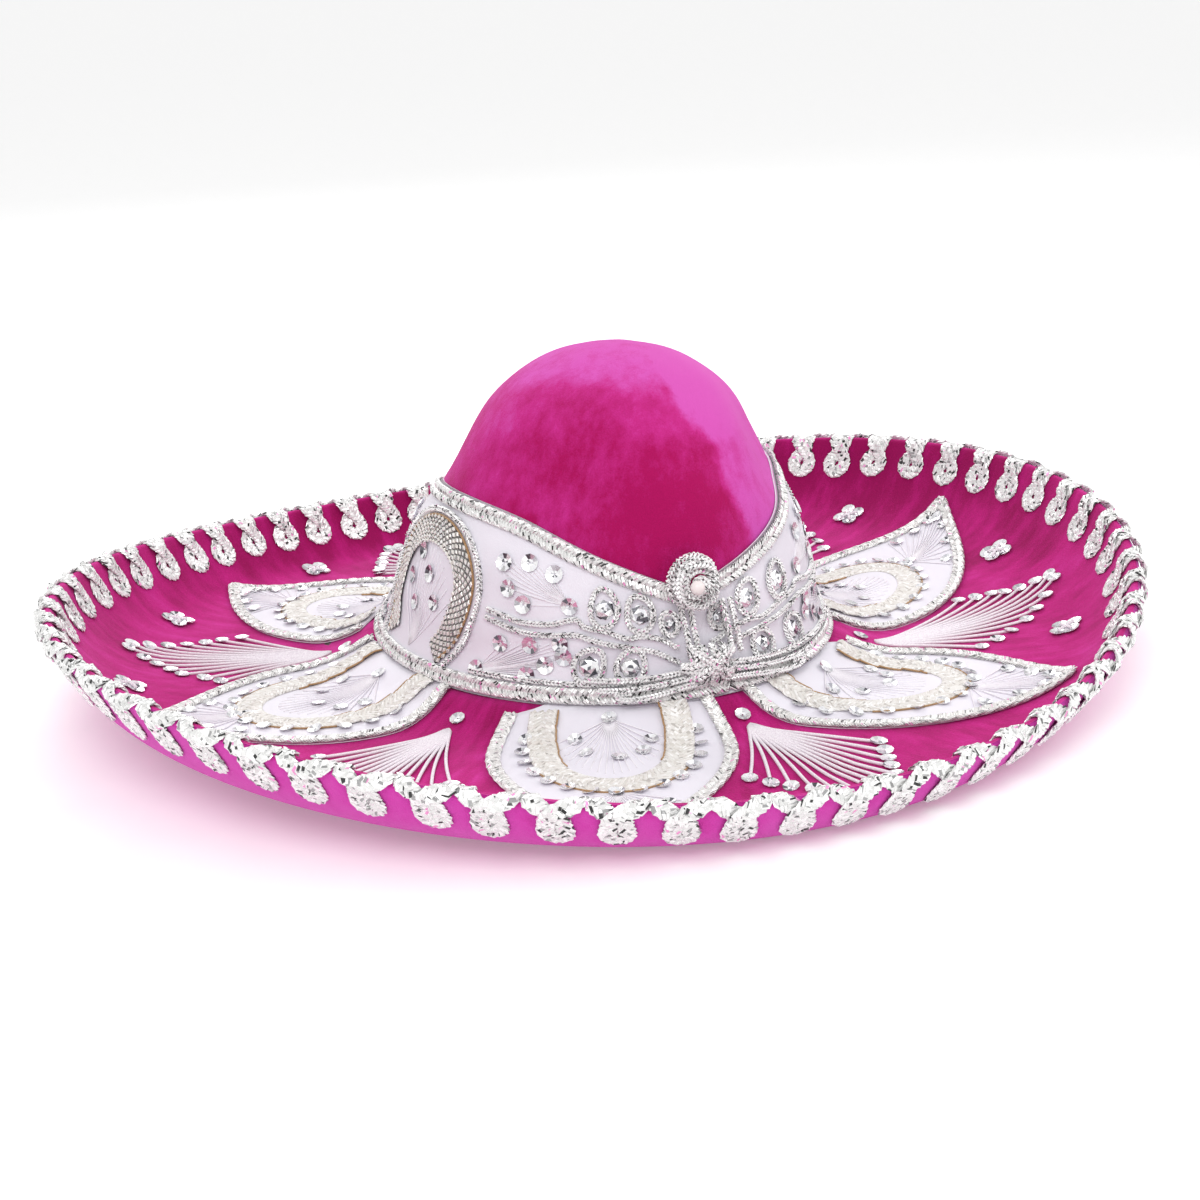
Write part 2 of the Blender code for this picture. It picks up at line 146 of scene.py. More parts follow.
def bezier(points, t):
    weights = ((1 - t) ** 3, 3 * t * (1 - t) ** 2, 3 * t * t * (1 - t), t**3)
    return [sum(w * p[axis] for w, p in zip(weights, points)) for axis in (0, 1)]


def whole_turn(count):
    """Evenly spread angles of one whole turn."""
    return np.arange(count) * 2 * pi / count


def smooth_path(controls, closed=False, per_step=12):
    """A Catmull-Rom curve through the control points, any number of columns."""
    points = np.asarray(controls, float)
    if closed:
        padded = np.vstack([points[-1:], points, points[:2]])
    else:
        padded = np.vstack([2 * points[0] - points[1], points, 2 * points[-1] - points[-2]])
    a, b, c, d = padded[:-3], padded[1:-2], padded[2:-1], padded[3:]
    t = (np.arange(per_step) / per_step)[:, None, None]
    curve = 0.5 * (2 * b + (c - a) * t + (2 * a - 5 * b + 4 * c - d) * t**2 + (3 * b - a - 3 * c + d) * t**3)
    curve = curve.transpose(1, 0, 2).reshape(-1, points.shape[1])
    return curve if closed else np.vstack([curve, points[-1:]])


def lengths(path):
    """How far along a path each of its points lies."""
    return np.concatenate([[0], np.cumsum(np.linalg.norm(np.diff(path, axis=0), axis=1))])


def sampled(marks, places, values):
    """Values known at places, read off at marks."""
    return np.stack([np.interp(marks, places, column) for column in values.T], -1)


def even_steps(values, points, spacing, closed=False):
    """Samples values evenly along the length of points."""
    if closed:
        values, points = np.vstack([values, values[:1]]), np.vstack([points, points[:1]])
    length = lengths(points)
    marks = np.linspace(0, length[-1], max(3, int(round(length[-1] / spacing))) + 1)
    return sampled(marks[:-1] if closed else marks, length, values)


def smooth_steps(controls, spacing):
    """Even points along the smooth curve through controls."""
    curve = smooth_path(controls)
    return even_steps(curve, curve, spacing)


# ---- Surfaces of the hat ----


def oval_radius(angle, half_x, half_y):
    return 1 / np.hypot(np.sin(angle) / half_x, np.cos(angle) / half_y)


def reach(angle, t):
    foot = oval_radius(angle, FOOT_X, FOOT_Y)
    return foot + (oval_radius(angle, RIM_X, RIM_Y) - foot) * t


def brim_middle(angle, t):
    out = np.maximum(t, 0)
    z = FLOOR_Z + (OPENING_Z - FLOOR_Z) * np.maximum(0, 1 - out / DROP_T) ** 2
    z = z + (RIM_Z - FLOOR_Z) * out**CURL_POWER
    z = z - RIM_SADDLE * np.cos(2 * angle) * out**SADDLE_POWER
    z = z - RIM_BACK_LIFT * np.cos(angle) * out**BACK_POWER
    radius = reach(angle, t)
    return xyz(radius * np.sin(angle), -radius * np.cos(angle), np.maximum(z, VELVET_HIGH))


def brim_frame(angle, t):
    step = 0.002
    outward = brim_middle(angle, t + step) - brim_middle(angle, t - step)
    along = brim_middle(angle + step, t) - brim_middle(angle - step, t)
    return unit(outward), unit(np.cross(outward, along))


def brim(angle, t, lift):
    return brim_middle(angle, t) + lift_by(brim_frame(angle, t)[1], lift)


def brim_at(x, y, lift):
    """The point of the brim above or below a place in plan."""
    angle = np.arctan2(x, -y)
    foot = reach(angle, 0)
    return brim(angle, (np.hypot(x, y) - foot) / (reach(angle, 1) - foot), lift)


def share_inside_rim(angle, distance):
    """The t of a point this far inside the rim, measured along the curved brim."""
    steps, small = 8, 0.002
    t = np.ones(np.broadcast(angle, distance).shape)
    for _ in range(steps):
        here = brim_middle(angle, t)
        speed = np.linalg.norm(here - brim_middle(angle, t - small), axis=-1) / small
        t = t - distance / steps / speed
    return t


def over_rim(angle, distance, lift):
    """A layer wrapped over the rim, and its outer normal: distance is negative inside, positive outside."""
    quarter = lift * pi / 2
    t = share_inside_rim(angle, np.maximum(np.abs(distance) - quarter, 0))
    outward, normal = brim_frame(angle, t)
    turn = np.clip(distance / lift, -pi / 2, pi / 2)
    swing = outward * np.cos(turn)[..., None] - normal * np.sin(turn)[..., None]
    return brim_middle(angle, t) + lift_by(swing, lift), swing


def crown_middle(angle, u):
    wall = bezier(CROWN_WALL, np.minimum(u / CROWN_WALL_SHARE, 1))
    cap = bezier(CROWN_CAP, np.maximum(u - CROWN_WALL_SHARE, 0) / (1 - CROWN_WALL_SHARE))
    half = np.where(u < CROWN_WALL_SHARE, wall[0], cap[0]) * MM
    z = np.where(u < CROWN_WALL_SHARE, wall[1], cap[1]) * MM
    near = np.exp(-(((z - DENT_HEIGHT) / DENT_SPREAD) ** 2))
    from_side = np.abs(np.abs(np.arctan2(np.sin(angle), np.cos(angle))) - pi / 2)
    dent = np.exp(-(((pi / 2 - DENT_ANGLE - from_side) / DENT_WIDTH) ** 2))
    half = half * (1 - DENT_DEPTH * near * dent)
    lean = CROWN_LEAN * (z - CROWN_WALL[0][1] * MM)
    return xyz(half * np.sin(angle), -half * CROWN_OVAL * np.cos(angle) - lean, z)


def lifted(middle, angle, along, lift, step):
    """A point lifted off an upright surface, outwards along its normal."""
    round_hat = middle(angle + 0.002, along) - middle(angle - 0.002, along)
    upwards = middle(angle, along + step) - middle(angle, along - step)
    return middle(angle, along) + lift_by(unit(np.cross(round_hat, upwards)), lift)


def band_top(angle):
    """Height of the band's upper edge: a V under the rosette and at the back, a peak at each side."""
    turn = np.arctan2(np.sin(angle), np.cos(angle))
    at_front = np.abs(turn) < pi / 2
    dip = np.where(at_front, FRONT, np.copysign(pi, turn))
    whole = np.where(at_front, np.copysign(pi / 2, turn - dip) - dip, pi / 2)
    return BAND_DIP_Z + (BAND_PEAK_Z - BAND_DIP_Z) * np.sin(pi / 2 * np.abs((turn - dip) / whole))


CROWN_SHARES = np.linspace(0, 1, 200)
CROWN_HEIGHTS = crown_middle(0.0, CROWN_SHARES)[:, 2]


def band_middle(angle, z):
    fall = np.maximum(BAND_WAIST_Z - z, 0) / (BAND_WAIST_Z - BAND_FOOT_Z)
    rise = np.maximum(z - BAND_WAIST_Z, 0) / (BAND_PEAK_Z - BAND_WAIST_Z)
    half = BAND_WAIST_X + (BAND_FOOT_X - BAND_WAIST_X) * fall**1.6 + (BAND_TOP_X - BAND_WAIST_X) * rise
    lean = CROWN_LEAN * np.maximum(0, z - BAND_FOOT_Z)
    flat = xyz(half * np.sin(angle), -half * CROWN_OVAL * np.cos(angle) - lean, z)
    # The upper edge draws in until it lies against the velvet of the crown.
    u = np.interp(z, CROWN_HEIGHTS, CROWN_SHARES)
    against = lifted(crown_middle, angle, u, 3.4 * MM, 0.004)
    against = xyz(against[..., 0], against[..., 1], z)
    drawn = np.clip((z - band_top(angle)) / BAND_DRAW + 1, 0, 1)[..., None]
    return flat + (against - flat) * drawn * drawn * (3 - 2 * drawn)


def crown(angle, u, lift):
    return lifted(crown_middle, angle, u, lift, 0.004)


def band(angle, z, lift):
    return lifted(band_middle, angle, z, lift, 0.5 * MM)


def petal_plan(petal, t, across):
    """Plan place of a point of a petal: t along its axis and metres across it."""
    foot, tip, length = petal
    t = np.asarray(t, float)
    angle = np.radians(foot + (tip - foot) * t / length)
    along = reach(angle, t)
    return along * np.sin(angle) + across * np.cos(angle), -along * np.cos(angle) + across * np.sin(angle)


def fan_angle(fan, t):
    """Direction of a fan's axis at t."""
    foot, tip = fan
    return np.radians(foot + (tip - foot) * (t - FAN_FOOT_T) / (FAN_TIP_T - FAN_FOOT_T))


# ---- Mesh builders ----

# Slots whose pieces carry a random value, glint, on each face.
GLINT_SLOTS = ("silver_braid", "woven_trim", "thread")


def add_object(name, data):
    thing = bpy.data.objects.new(name, data)
    bpy.context.scene.collection.objects.link(thing)
    return thing


def add_piece(name, shape, finish, *nodes):
    """One visual piece on the hat's only body, from a shape or a list of shapes.

    It stands in for the CAD nodes named. A shape is its points and its faces.
    """
    points, faces = merged(shape) if isinstance(shape, list) else shape
    mesh = bpy.data.meshes.new(name)
    mesh.from_pydata(points.tolist(), [], faces if isinstance(faces, list) else faces.tolist())
    mesh.validate()
    mesh.polygons.foreach_set("use_smooth", [finish.smooth] * len(mesh.polygons))
    if finish.slot in GLINT_SLOTS:
        values = RNG.random(len(mesh.polygons)).astype(np.float32)
        mesh.attributes.new("glint", "FLOAT", "FACE").data.foreach_set("value", values)
    mesh.materials.append(finish.material)
    piece = add_object(name, mesh)
    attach(piece, "root")
    if nodes:
        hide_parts(*nodes)


def merged(parts):
    """Joins (points, faces) pairs into one."""
    points, faces, total = [], [], 0
    for part_points, part_faces in parts:
        points.append(part_points)
        faces.append(np.asarray(part_faces) + total)
        total += len(part_points)
    return np.vstack(points), np.vstack(faces)


def quads(index):
    """The faces of a grid of point numbers."""
    return np.stack([index[:-1, :-1], index[:-1, 1:], index[1:, 1:], index[1:, :-1]], -1).reshape(-1, 4)


def slab(low, high, closed=True):
    """A closed sheet between two grids of points; closed joins the last column to the first."""
    rows, columns = low.shape[:2]
    index = np.arange(rows * columns).reshape(rows, columns)
    wrap = np.hstack([index, index[:, :1]]) if closed else index
    borders = [(wrap[0], False), (wrap[-1], True)]
    if not closed:
        borders += [(index[:, 0], True), (index[:, -1], False)]
    faces = [quads(wrap)[:, ::-1], quads(wrap) + index.size]
    for line, flip in borders:
        side = np.stack([line[:-1], line[1:], line[1:] + index.size, line[:-1] + index.size], -1)
        faces.append(side if flip else side[:, ::-1])
    return np.vstack([low.reshape(-1, 3), high.reshape(-1, 3)]), np.vstack(faces)


def frames(path, up, closed=False):
    """Sideways and upward unit vectors along a path."""
    tangent = unit(np.roll(path, -1, 0) - np.roll(path, 1, 0) if closed else np.gradient(path, axis=0))
    side = unit(np.cross(tangent, up))
    return side, unit(np.cross(side, tangent))


def tube(path, up, half_wide, half_thick, sides=6, closed=False, turn=0.0):
    """An oval tube along a path, as quads, with flat ends, which an odd number of sides leaves part open."""
    side, lift = frames(path, up, closed)
    spokes = whole_turn(sides) + turn
    ring = side[:, None] * np.cos(spokes)[None, :, None] * half_wide
    ring = ring + lift[:, None] * np.sin(spokes)[None, :, None] * half_thick
    points = (path[:, None] + ring).reshape(-1, 3)
    index = np.arange(len(points)).reshape(len(path), sides)
    index = np.hstack([index, index[:, :1]])
    if closed:
        return points, quads(np.vstack([index, index[:1]]))
    cap = np.array([(0, k, k + 1, k + 2) for k in range(1, sides - 2, 2)])
    return points, np.vstack([quads(index), cap[:, ::-1], cap + len(points) - sides])


def plait(path, up, width, thick, strands, period, closed=False, foil=1.0, flat=0.42):
    """A flat plait: each strand swings across the path and passes over two, then under two others."""
    side, lift = frames(path, up, closed)
    if closed:
        length = lengths(np.vstack([path, path[:1]]))
        period = length[-1] / max(1, round(length[-1] / period))
        length = length[:-1]
    else:
        length = lengths(path)
    strand_wide = foil * 1.7 * width / (strands + 1)
    strand_thick = strand_wide * flat
    swing = (width - strand_wide) / 2
    rise = max(0.0, (thick - strand_thick) / 2)
    made = []
    for k in range(strands):
        phase = 2 * pi * (length / period + k / strands)
        centre = path + lift_by(side, swing * np.sin(phase)) + lift_by(lift, rise * np.sin(2 * phase))
        made.append(tube(centre, lift, strand_wide / 2, strand_thick / 2, 6, closed))
    return merged(made)


def surface_path(surface, controls, lift, spacing, closed=False, smooth=True):
    """Even points and normals along a path given in a surface's own coordinates."""
    places = smooth_path(controls, closed) if smooth else np.asarray(controls, float)
    places = even_steps(places, surface(places[:, 0], places[:, 1], lift), spacing, closed)
    a, b = places[:, 0], places[:, 1]
    path = surface(a, b, lift)
    return path, unit(surface(a, b, lift + 0.5 * MM) - path)


def threads(surface, ends, lift, radius, arch=0.25 * MM, sides=4, steps=8):
    """Straight stitches from place to place, slightly arched off the cloth."""
    made = []
    for start, end in ends:
        share = np.linspace(0, 1, steps + 1)
        a = start[0] + (end[0] - start[0]) * share
        b = start[1] + (end[1] - start[1]) * share
        path = surface(a, b, lift + arch * np.sin(pi * share))
        up = unit(surface(a, b, lift + MM) - surface(a, b, lift))
        made.append(tube(path, up, radius, radius, sides, turn=pi / 4))
    return made


def disc_profile(profile, sides, twist=0.0):
    """A closed profile of (radius, height) turned round the vertical axis."""
    rings = []
    for k, (radius, z) in enumerate(profile):
        spokes = whole_turn(sides) + twist * (k % 2)
        rings.append(xyz(radius * np.cos(spokes), radius * np.sin(spokes), z))
    points = np.vstack(rings)
    index = np.arange(len(points)).reshape(len(profile), sides)
    index = np.hstack([index, index[:, :1]])
    return points, quads(np.vstack([index, index[:1]]))


SEQUIN_SHAPE = disc_profile(
    ((0.12, 0.02), (0.12, 0.07), (0.42, 0.10), (1.0, 0.30), (1.0, 0.26), (0.42, 0.05)), 10
)
STONE_SHAPE = disc_profile(
    ((0.0001, 0.0), (1.0, 0.0), (1.0, 0.10), (0.70, 0.42), (0.34, 0.50), (0.0001, 0.50)), 6, pi / 6
)


def set_on(shape, points, normals, size, tilt):
    """Copies of a small shape, each standing on a point with its own turn and a little tilt."""
    made = []
    for point, normal in zip(points, normals):
        wobble = RNG.normal(0, tilt, 3)
        axis = unit(normal + wobble)
        side = unit(np.cross(axis, RNG.normal(0, 1, 3)))
        basis = np.stack([side, np.cross(axis, side), axis])
        made.append((shape[0] @ basis * size * RNG.uniform(0.95, 1.05) + point, shape[1]))
    return made


def on_surface(surface, places, lift):
    """Points on a surface and its normals there."""
    a, b = np.asarray(places, float).T
    points = surface(a, b, lift)
    return points, unit(surface(a, b, lift + MM) - points)


def sequins(surface, places, lift, size, tilt):
    return set_on(SEQUIN_SHAPE, *on_surface(surface, places, lift), size, tilt)


# ---- Materials ----


class Nodes:
    """Shorthand for building the node tree of a material or of the world."""

    def __init__(self, owner):
        owner.use_nodes = True
        self.owner = owner
        self.tree = owner.node_tree

    def put(self, socket, value):
        if isinstance(value, bpy.types.NodeSocket):
            self.tree.links.new(value, socket)
        elif socket.type == "RGBA":
            socket.default_value = (*value, 1)
        else:
            socket.default_value = value

    def add(self, kind, settings=None, **inputs):
        node = self.tree.nodes.new(kind)
        for key, value in (settings or {}).items():
            setattr(node, key, value)
        for key, value in inputs.items():
            self.put(node.inputs[key.replace("_", " ")], value)
        return node

    def fill(self, node, values):
        """Gives a node's inputs their values in order."""
        for socket, value in zip(node.inputs, values):
            self.put(socket, value)
        return node.outputs

    def set(self, **inputs):
        """Gives the material's shader its inputs."""
        for key, value in inputs.items():
            self.put(self.tree.nodes["Principled BSDF"].inputs[key.replace("_", " ")], value)

    def math(self, operation, *values):
        return self.fill(self.add("ShaderNodeMath", {"operation": operation}), values)[0]

    def vector(self, operation, *values, output="Vector"):
        return self.fill(self.add("ShaderNodeVectorMath", {"operation": operation}), values)[output]

    def swing(self, noise, amount, base):
        """The base, moved up and down by a noise round its middle value."""
        return self.math("MULTIPLY_ADD", self.math("SUBTRACT", noise, 0.5), amount, base)

    def mix(self, factor, a, b):
        node = self.add("ShaderNodeMix", {"data_type": "RGBA"})
        for index, value in ((0, factor), (6, a), (7, b)):
            self.put(node.inputs[index], value)
        return node.outputs[2]

    def ramp(self, value, stops, interpolation="LINEAR"):
        """A colour ramp; a stop's colour is three values, or one for a grey."""
        node = self.add("ShaderNodeValToRGB")
        band = node.color_ramp
        band.interpolation = interpolation
        while len(band.elements) < len(stops):
            band.elements.new(0.5)
        for element, (position, colour) in zip(band.elements, stops):
            element.position = position
            element.color = (*colour, 1) if isinstance(colour, tuple) else (colour, colour, colour, 1)
        return self.fill(node, (value,))[0]

    def noise(self, scale, detail=2.0, stretch=None, roughness=0.5):
        where = self.add("ShaderNodeTexCoord").outputs["Object"]
        if stretch:
            where = self.add("ShaderNodeMapping", Vector=where, Scale=stretch).outputs[0]
        node = self.add("ShaderNodeTexNoise", Vector=where, Scale=scale, Detail=detail, Roughness=roughness)
        return node.outputs[0]

    def bump(self, height, strength, distance):
        return self.add("ShaderNodeBump", Height=height, Strength=strength, Distance=distance).outputs[0]

    def glint(self):
        """The random value of the face."""
        return self.add("ShaderNodeAttribute", {"attribute_name": "glint"}).outputs["Fac"]


def material_nodes(name):
    """The nodes of a new material."""
    return Nodes(bpy.data.materials.new(name))


def pile(n, colour, fibres, depth, softness, tint):
    """Finishes a velvet: a matt pile of fine fibres with a soft sheen."""
    n.set(Base_Color=colour, Roughness=0.92, Specular_IOR_Level=0.12, Sheen_Weight=0.3,
          Sheen_Roughness=softness, Sheen_Tint=tint, Normal=n.bump(fibres, depth, 0.0006))
    return n.owner


def velvet_material(name, deep, middle, bright, painted_side_light=0.0):
    """Short pile with painted sheen: deep where it is looked into, bright where it is seen along the surface.

    Painted light also brightens pile that faces one side and pile that faces upwards; the last argument is
    the strength of that light.
    """
    n = material_nodes(name)
    facing = n.add("ShaderNodeLayerWeight", Blend=0.5).outputs["Facing"]
    patches = n.noise(22, 5, roughness=0.68)
    brushed = n.noise(130, 4, stretch=(1, 1, 0.4), roughness=0.7)
    fibres = n.noise(1500)
    # Painted sheen: brighter where the surface is seen edge-on; the noises below add random tone.
    sheen_and_tone = n.math("MULTIPLY_ADD", facing, 0.14 if painted_side_light else 0.85, 0.09)
    for noise, amount in ((patches, 0.75), (brushed, 0.70), (fibres, 0.30)):
        sheen_and_tone = n.swing(noise, amount, sheen_and_tone)
    # Painted light on pile that faces one side and on pile that faces upwards.
    if painted_side_light:
        normal = n.add("ShaderNodeTexCoord").outputs["Normal"]
        slope = n.vector("DOT_PRODUCT", normal, PAINTED_LIGHT_TOWARDS, output="Value")
        upward = n.add("ShaderNodeSeparateXYZ", Vector=normal).outputs["Z"]
        # Each row of painted light: a measure, how far the patches shift it, where its light starts and is
        # full, and the gain.
        for measure, shift, start, full, gain in (
            (slope, 0.13, 0.71, 0.79, painted_side_light),
            (upward, 0.45, 0.30, 0.62, 0.20),
            (upward, 0.20, 0.76, 0.93, 0.36),
        ):
            lit = n.add("ShaderNodeMapRange", {"interpolation_type": "SMOOTHSTEP"},
                        Value=n.swing(patches, shift, measure), From_Min=start, From_Max=full).outputs[0]
            sheen_and_tone = n.math("MULTIPLY_ADD", lit, gain, sheen_and_tone)
    colour = n.ramp(sheen_and_tone, ((0.06, deep), (0.40, middle), (0.80, bright)))
    return pile(n, colour, fibres, 0.6, 0.42, (0.95, 0.35, 0.75))


def brim_velvet_material():
    """Velvet of the brim, with painted sheen and soft streaks that run out from the crown."""
    n = material_nodes("brim_velvet")
    facing = n.add("ShaderNodeLayerWeight", Blend=0.5).outputs["Facing"]
    where = n.add("ShaderNodeTexCoord").outputs["Object"]
    apart = n.add("ShaderNodeSeparateXYZ", Vector=where).outputs
    angle = n.math("ARCTAN2", apart["X"], apart["Y"])
    radius = n.vector("LENGTH", where, output="Value")
    polar = n.add("ShaderNodeCombineXYZ", X=n.math("MULTIPLY", angle, 9.0),
                  Y=n.math("MULTIPLY", radius, 14.0)).outputs[0]
    streaks = n.add("ShaderNodeTexNoise", Vector=polar, Scale=2.4, Detail=4, Roughness=0.6).outputs[0]
    patches = n.noise(22, 3, roughness=0.55)
    fibres = n.noise(1500)
    # Painted sheen: brighter where the surface is seen edge-on; streaks, patches and fibres add random tone.
    sheen_and_tone = n.math("MULTIPLY", facing, 0.5)
    for noise, amount in ((streaks, 0.75), (patches, 0.45), (fibres, 0.35)):
        sheen_and_tone = n.swing(noise, amount, sheen_and_tone)
    stops = ((0.05, (0.29, 0.003, 0.085)), (0.34, (0.50, 0.012, 0.19)), (0.66, (0.68, 0.045, 0.36)))
    return pile(n, n.ramp(sheen_and_tone, stops), fibres, 0.55, 0.45, (0.95, 0.35, 0.7))


def satin_material():
    n = material_nodes("lilac_satin")
    weave = n.noise(2600, 1, stretch=(1, 1, 0.3))
    colour = n.ramp(n.noise(18), ((0.3, (0.76, 0.73, 0.80)), (0.7, (0.85, 0.82, 0.89))))
    n.set(Base_Color=colour, Roughness=n.ramp(weave, ((0.3, 0.40), (0.7, 0.58))), Specular_IOR_Level=0.45,
          Sheen_Weight=0.25, Sheen_Roughness=0.3, Normal=n.bump(weave, 0.35, 0.0003))
    return n.owner


def foil_material(name, dark_reflection_share, grey_reflection_share, tint, pink_reflection_share, metallic):
    """Metallised film wound on a thread: every facet takes its own slant and, as painted reflection, its own
    brightness, a few of them pink.
    """
    n = material_nodes(name)
    glint = n.glint()
    # Painted reflections: dark and grey facets of dark surroundings, white ones of the lamps, pink ones of
    # the velvet; the tint is the film's own.
    stops = [(0.0, 0.035), (dark_reflection_share, 0.36), (dark_reflection_share + grey_reflection_share, tint), (0.70, (0.90, 0.90, 0.89))]
    if pink_reflection_share:
        stops.append((1 - pink_reflection_share, (0.80, 0.30, 0.58)))
    slant = n.add("ShaderNodeTexWhiteNoise", {"noise_dimensions": "1D"}, W=n.math("MULTIPLY", glint, 977))
    slant = n.vector("SUBTRACT", slant.outputs["Color"], (0.5, 0.5, 0.5))
    slant = n.add("ShaderNodeVectorMath", {"operation": "SCALE"}, Vector=slant, Scale=0.18).outputs[0]
    normal = n.vector("NORMALIZE", n.vector("ADD", n.bump(n.noise(900), 0.5, 0.0002), slant))
    n.set(Base_Color=n.ramp(glint, stops, "CONSTANT"), Metallic=metallic,
          Roughness=n.ramp(glint, ((0, 0.2), (1, 0.42))), Normal=normal)
    return n.owner


def woven_material():
    """Oyster-white woven trim with a thin metal thread in it."""
    n = material_nodes("woven_trim")
    colour = n.ramp(n.glint(), ((0, (0.52, 0.49, 0.46)), (0.08, (0.72, 0.69, 0.65)),
                                (0.40, (0.80, 0.78, 0.75)), (0.86, (0.93, 0.92, 0.91))), "CONSTANT")
    wear = n.ramp(n.noise(60, 3), ((0.45, 0.0), (0.75, 0.3)))
    n.set(Base_Color=n.mix(wear, colour, (0.66, 0.61, 0.55)), Roughness=0.5, Metallic=0.15,
          Specular_IOR_Level=0.5, Normal=n.bump(n.noise(1700), 0.7, 0.0004))
    return n.owner


def thread_material(name, colour, shade):
    n = material_nodes(name)
    twist = n.noise(1300, stretch=(1, 1, 2))
    n.set(Base_Color=n.ramp(twist, ((0.3, shade), (0.65, colour))), Roughness=0.6, Sheen_Weight=0.3,
          Specular_IOR_Level=0.35, Normal=n.bump(twist, 0.6, 0.0003))
    return n.owner


def mirror_material(name, rough, dark_reflection_share):
    """Silvered plastic of sequins and stones: each facet takes a painted reflection, dark, grey, pale or
    white.
    """
    n = material_nodes(name)
    wear = n.noise(700)
    colour = n.ramp(n.glint(), ((0, (0.16, 0.16, 0.18)), (dark_reflection_share, (0.60, 0.60, 0.64)),
                                (dark_reflection_share + 0.15, (0.86, 0.86, 0.89)),
                                (0.55, (0.97, 0.97, 0.98))), "CONSTANT")
    n.set(Base_Color=colour, Metallic=0.7, Roughness=n.ramp(wear, ((0.3, rough), (0.8, rough + 0.15))),
          Normal=n.bump(wear, 0.2, 0.0002))
    return n.owner


def plain_material(name, colour, shade, scale, rough, metallic=0.0):
    n = material_nodes(name)
    grain = n.noise(scale, 4)
    blotch = n.ramp(n.noise(30), ((0.4, 0.0), (0.8, 0.3)))
    tone = n.mix(blotch, n.ramp(grain, ((0.3, shade), (0.7, colour))), shade)
    n.set(Base_Color=tone, Roughness=rough, Metallic=metallic, Normal=n.bump(grain, 0.6, 0.0005))
    return n.owner


# Painted light falls on pile facing the first direction; the velvet's tones run from shaded pile to painted
# sheen.
PAINTED_LIGHT_TOWARDS = (0.70, -0.45, 0.55)
DEEP = (0.38, 0.004, 0.095)
MIDDLE = (0.52, 0.022, 0.22)
BRIGHT = (0.62, 0.085, 0.43)

# What a piece is made of: its material, its slot in the record and whether its faces are shaded smooth.
Finish = namedtuple("Finish", "material slot smooth")
CROWN_VELVET = Finish(velvet_material("crown_velvet_nap", DEEP, MIDDLE, BRIGHT, 0.58), "velvet", True)
BRIM_VELVET = Finish(brim_velvet_material(), "velvet", True)
# The underside takes lighter tones than the crown: painted sheen of pile seen at a grazing angle.
UNDER_VELVET = Finish(
    velvet_material("under_velvet_nap", (0.48, 0.02, 0.24), (0.60, 0.05, 0.38), BRIGHT), "velvet", True
)
SATIN = Finish(satin_material(), "satin", True)
# Each foil: name, share of facets with a painted dark reflection, share with a painted grey one, the tint of
# the rest, share with a painted pink one, and metallic.
BRAID, SOFT_BRAID, CORD = (
    Finish(foil_material(*values), "silver_braid", False)
    for values in (
        ("silver_foil_braid", 0.06, 0.10, (0.76, 0.76, 0.75), 0.012, 0.4),
        ("soft_silver_braid", 0.02, 0.10, (0.76, 0.75, 0.73), 0.012, 0.35),
        ("silver_cord", 0.10, 0.05, (0.90, 0.90, 0.90), 0.015, 0.25),
    )
)
WOVEN = Finish(woven_material(), "woven_trim", False)
NET = Finish(foil_material("silver_net", 0.02, 0.10, (0.80, 0.77, 0.72), 0.0, 0.35), "woven_trim", False)
THREAD, FINE_THREAD, EDGE_THREAD = (
    Finish(thread_material(name, colour, shade), slot, True)
    for name, colour, shade, slot in (
        ("white_thread", (0.92, 0.87, 0.91), (0.72, 0.64, 0.71), "thread"),
        ("fine_thread", (0.93, 0.90, 0.94), (0.84, 0.80, 0.86), "thread"),
        ("gold_brown_thread", (0.50, 0.30, 0.14), (0.27, 0.15, 0.07), "woven_trim"),
    )
)
# Each mirror: name, roughness and share of facets with a painted dark reflection.
MIRROR, BRIGHT_MIRROR, STONE = (
    Finish(mirror_material(*values), "silver_braid", False)
    for values in (
        ("sequin_mirror", 0.12, 0.05), ("bright_sequin_mirror", 0.08, 0.16), ("rhinestone_mirror", 0.05, 0.34)
    )
)
PEARL, BACKING, LEATHER, LINING, FELT, STEEL = (
    Finish(plain_material(*values), slot, True)
    for slot, *values in (
        ("silver_braid", "pearl_lustre", (0.90, 0.84, 0.82), (0.80, 0.70, 0.70), 140, 0.22),
        ("woven_trim", "net_backing", (0.24, 0.23, 0.22), (0.10, 0.10, 0.10), 900, 0.7),
        ("sweatband_leather", "sweatband_grain", (0.055, 0.04, 0.035), (0.02, 0.015, 0.012), 520, 0.5),
        ("lining", "lining_satin", (0.86, 0.85, 0.86), (0.76, 0.75, 0.77), 1200, 0.5),
        ("stiff_felt", "stiff_wool_felt", (0.17, 0.14, 0.13), (0.09, 0.07, 0.07), 800, 0.95),
        ("steel_wire", "rim_steel", (0.55, 0.55, 0.55), (0.38, 0.38, 0.38), 300, 0.35, 1.0),
    )
)


# ---- Velvet body ----


def unevenness(angle, share):
    """Millimetre-scale waviness of velvet stretched over the brim."""
    # Each wave: number round the hat, phase and height in mm.
    waves = ((7, 1.3, 0.30), (11, 4.1, 0.22), (23, 2.2, 0.12), (41, 5.0, 0.07), (67, 0.6, 0.05))
    total = 0
    for count, phase, height in waves:
        total = total + height * np.sin(count * angle + phase + 3 * share * cos(phase))
    return total * MM * np.clip((0.93 - share) * 5, 0, 1)


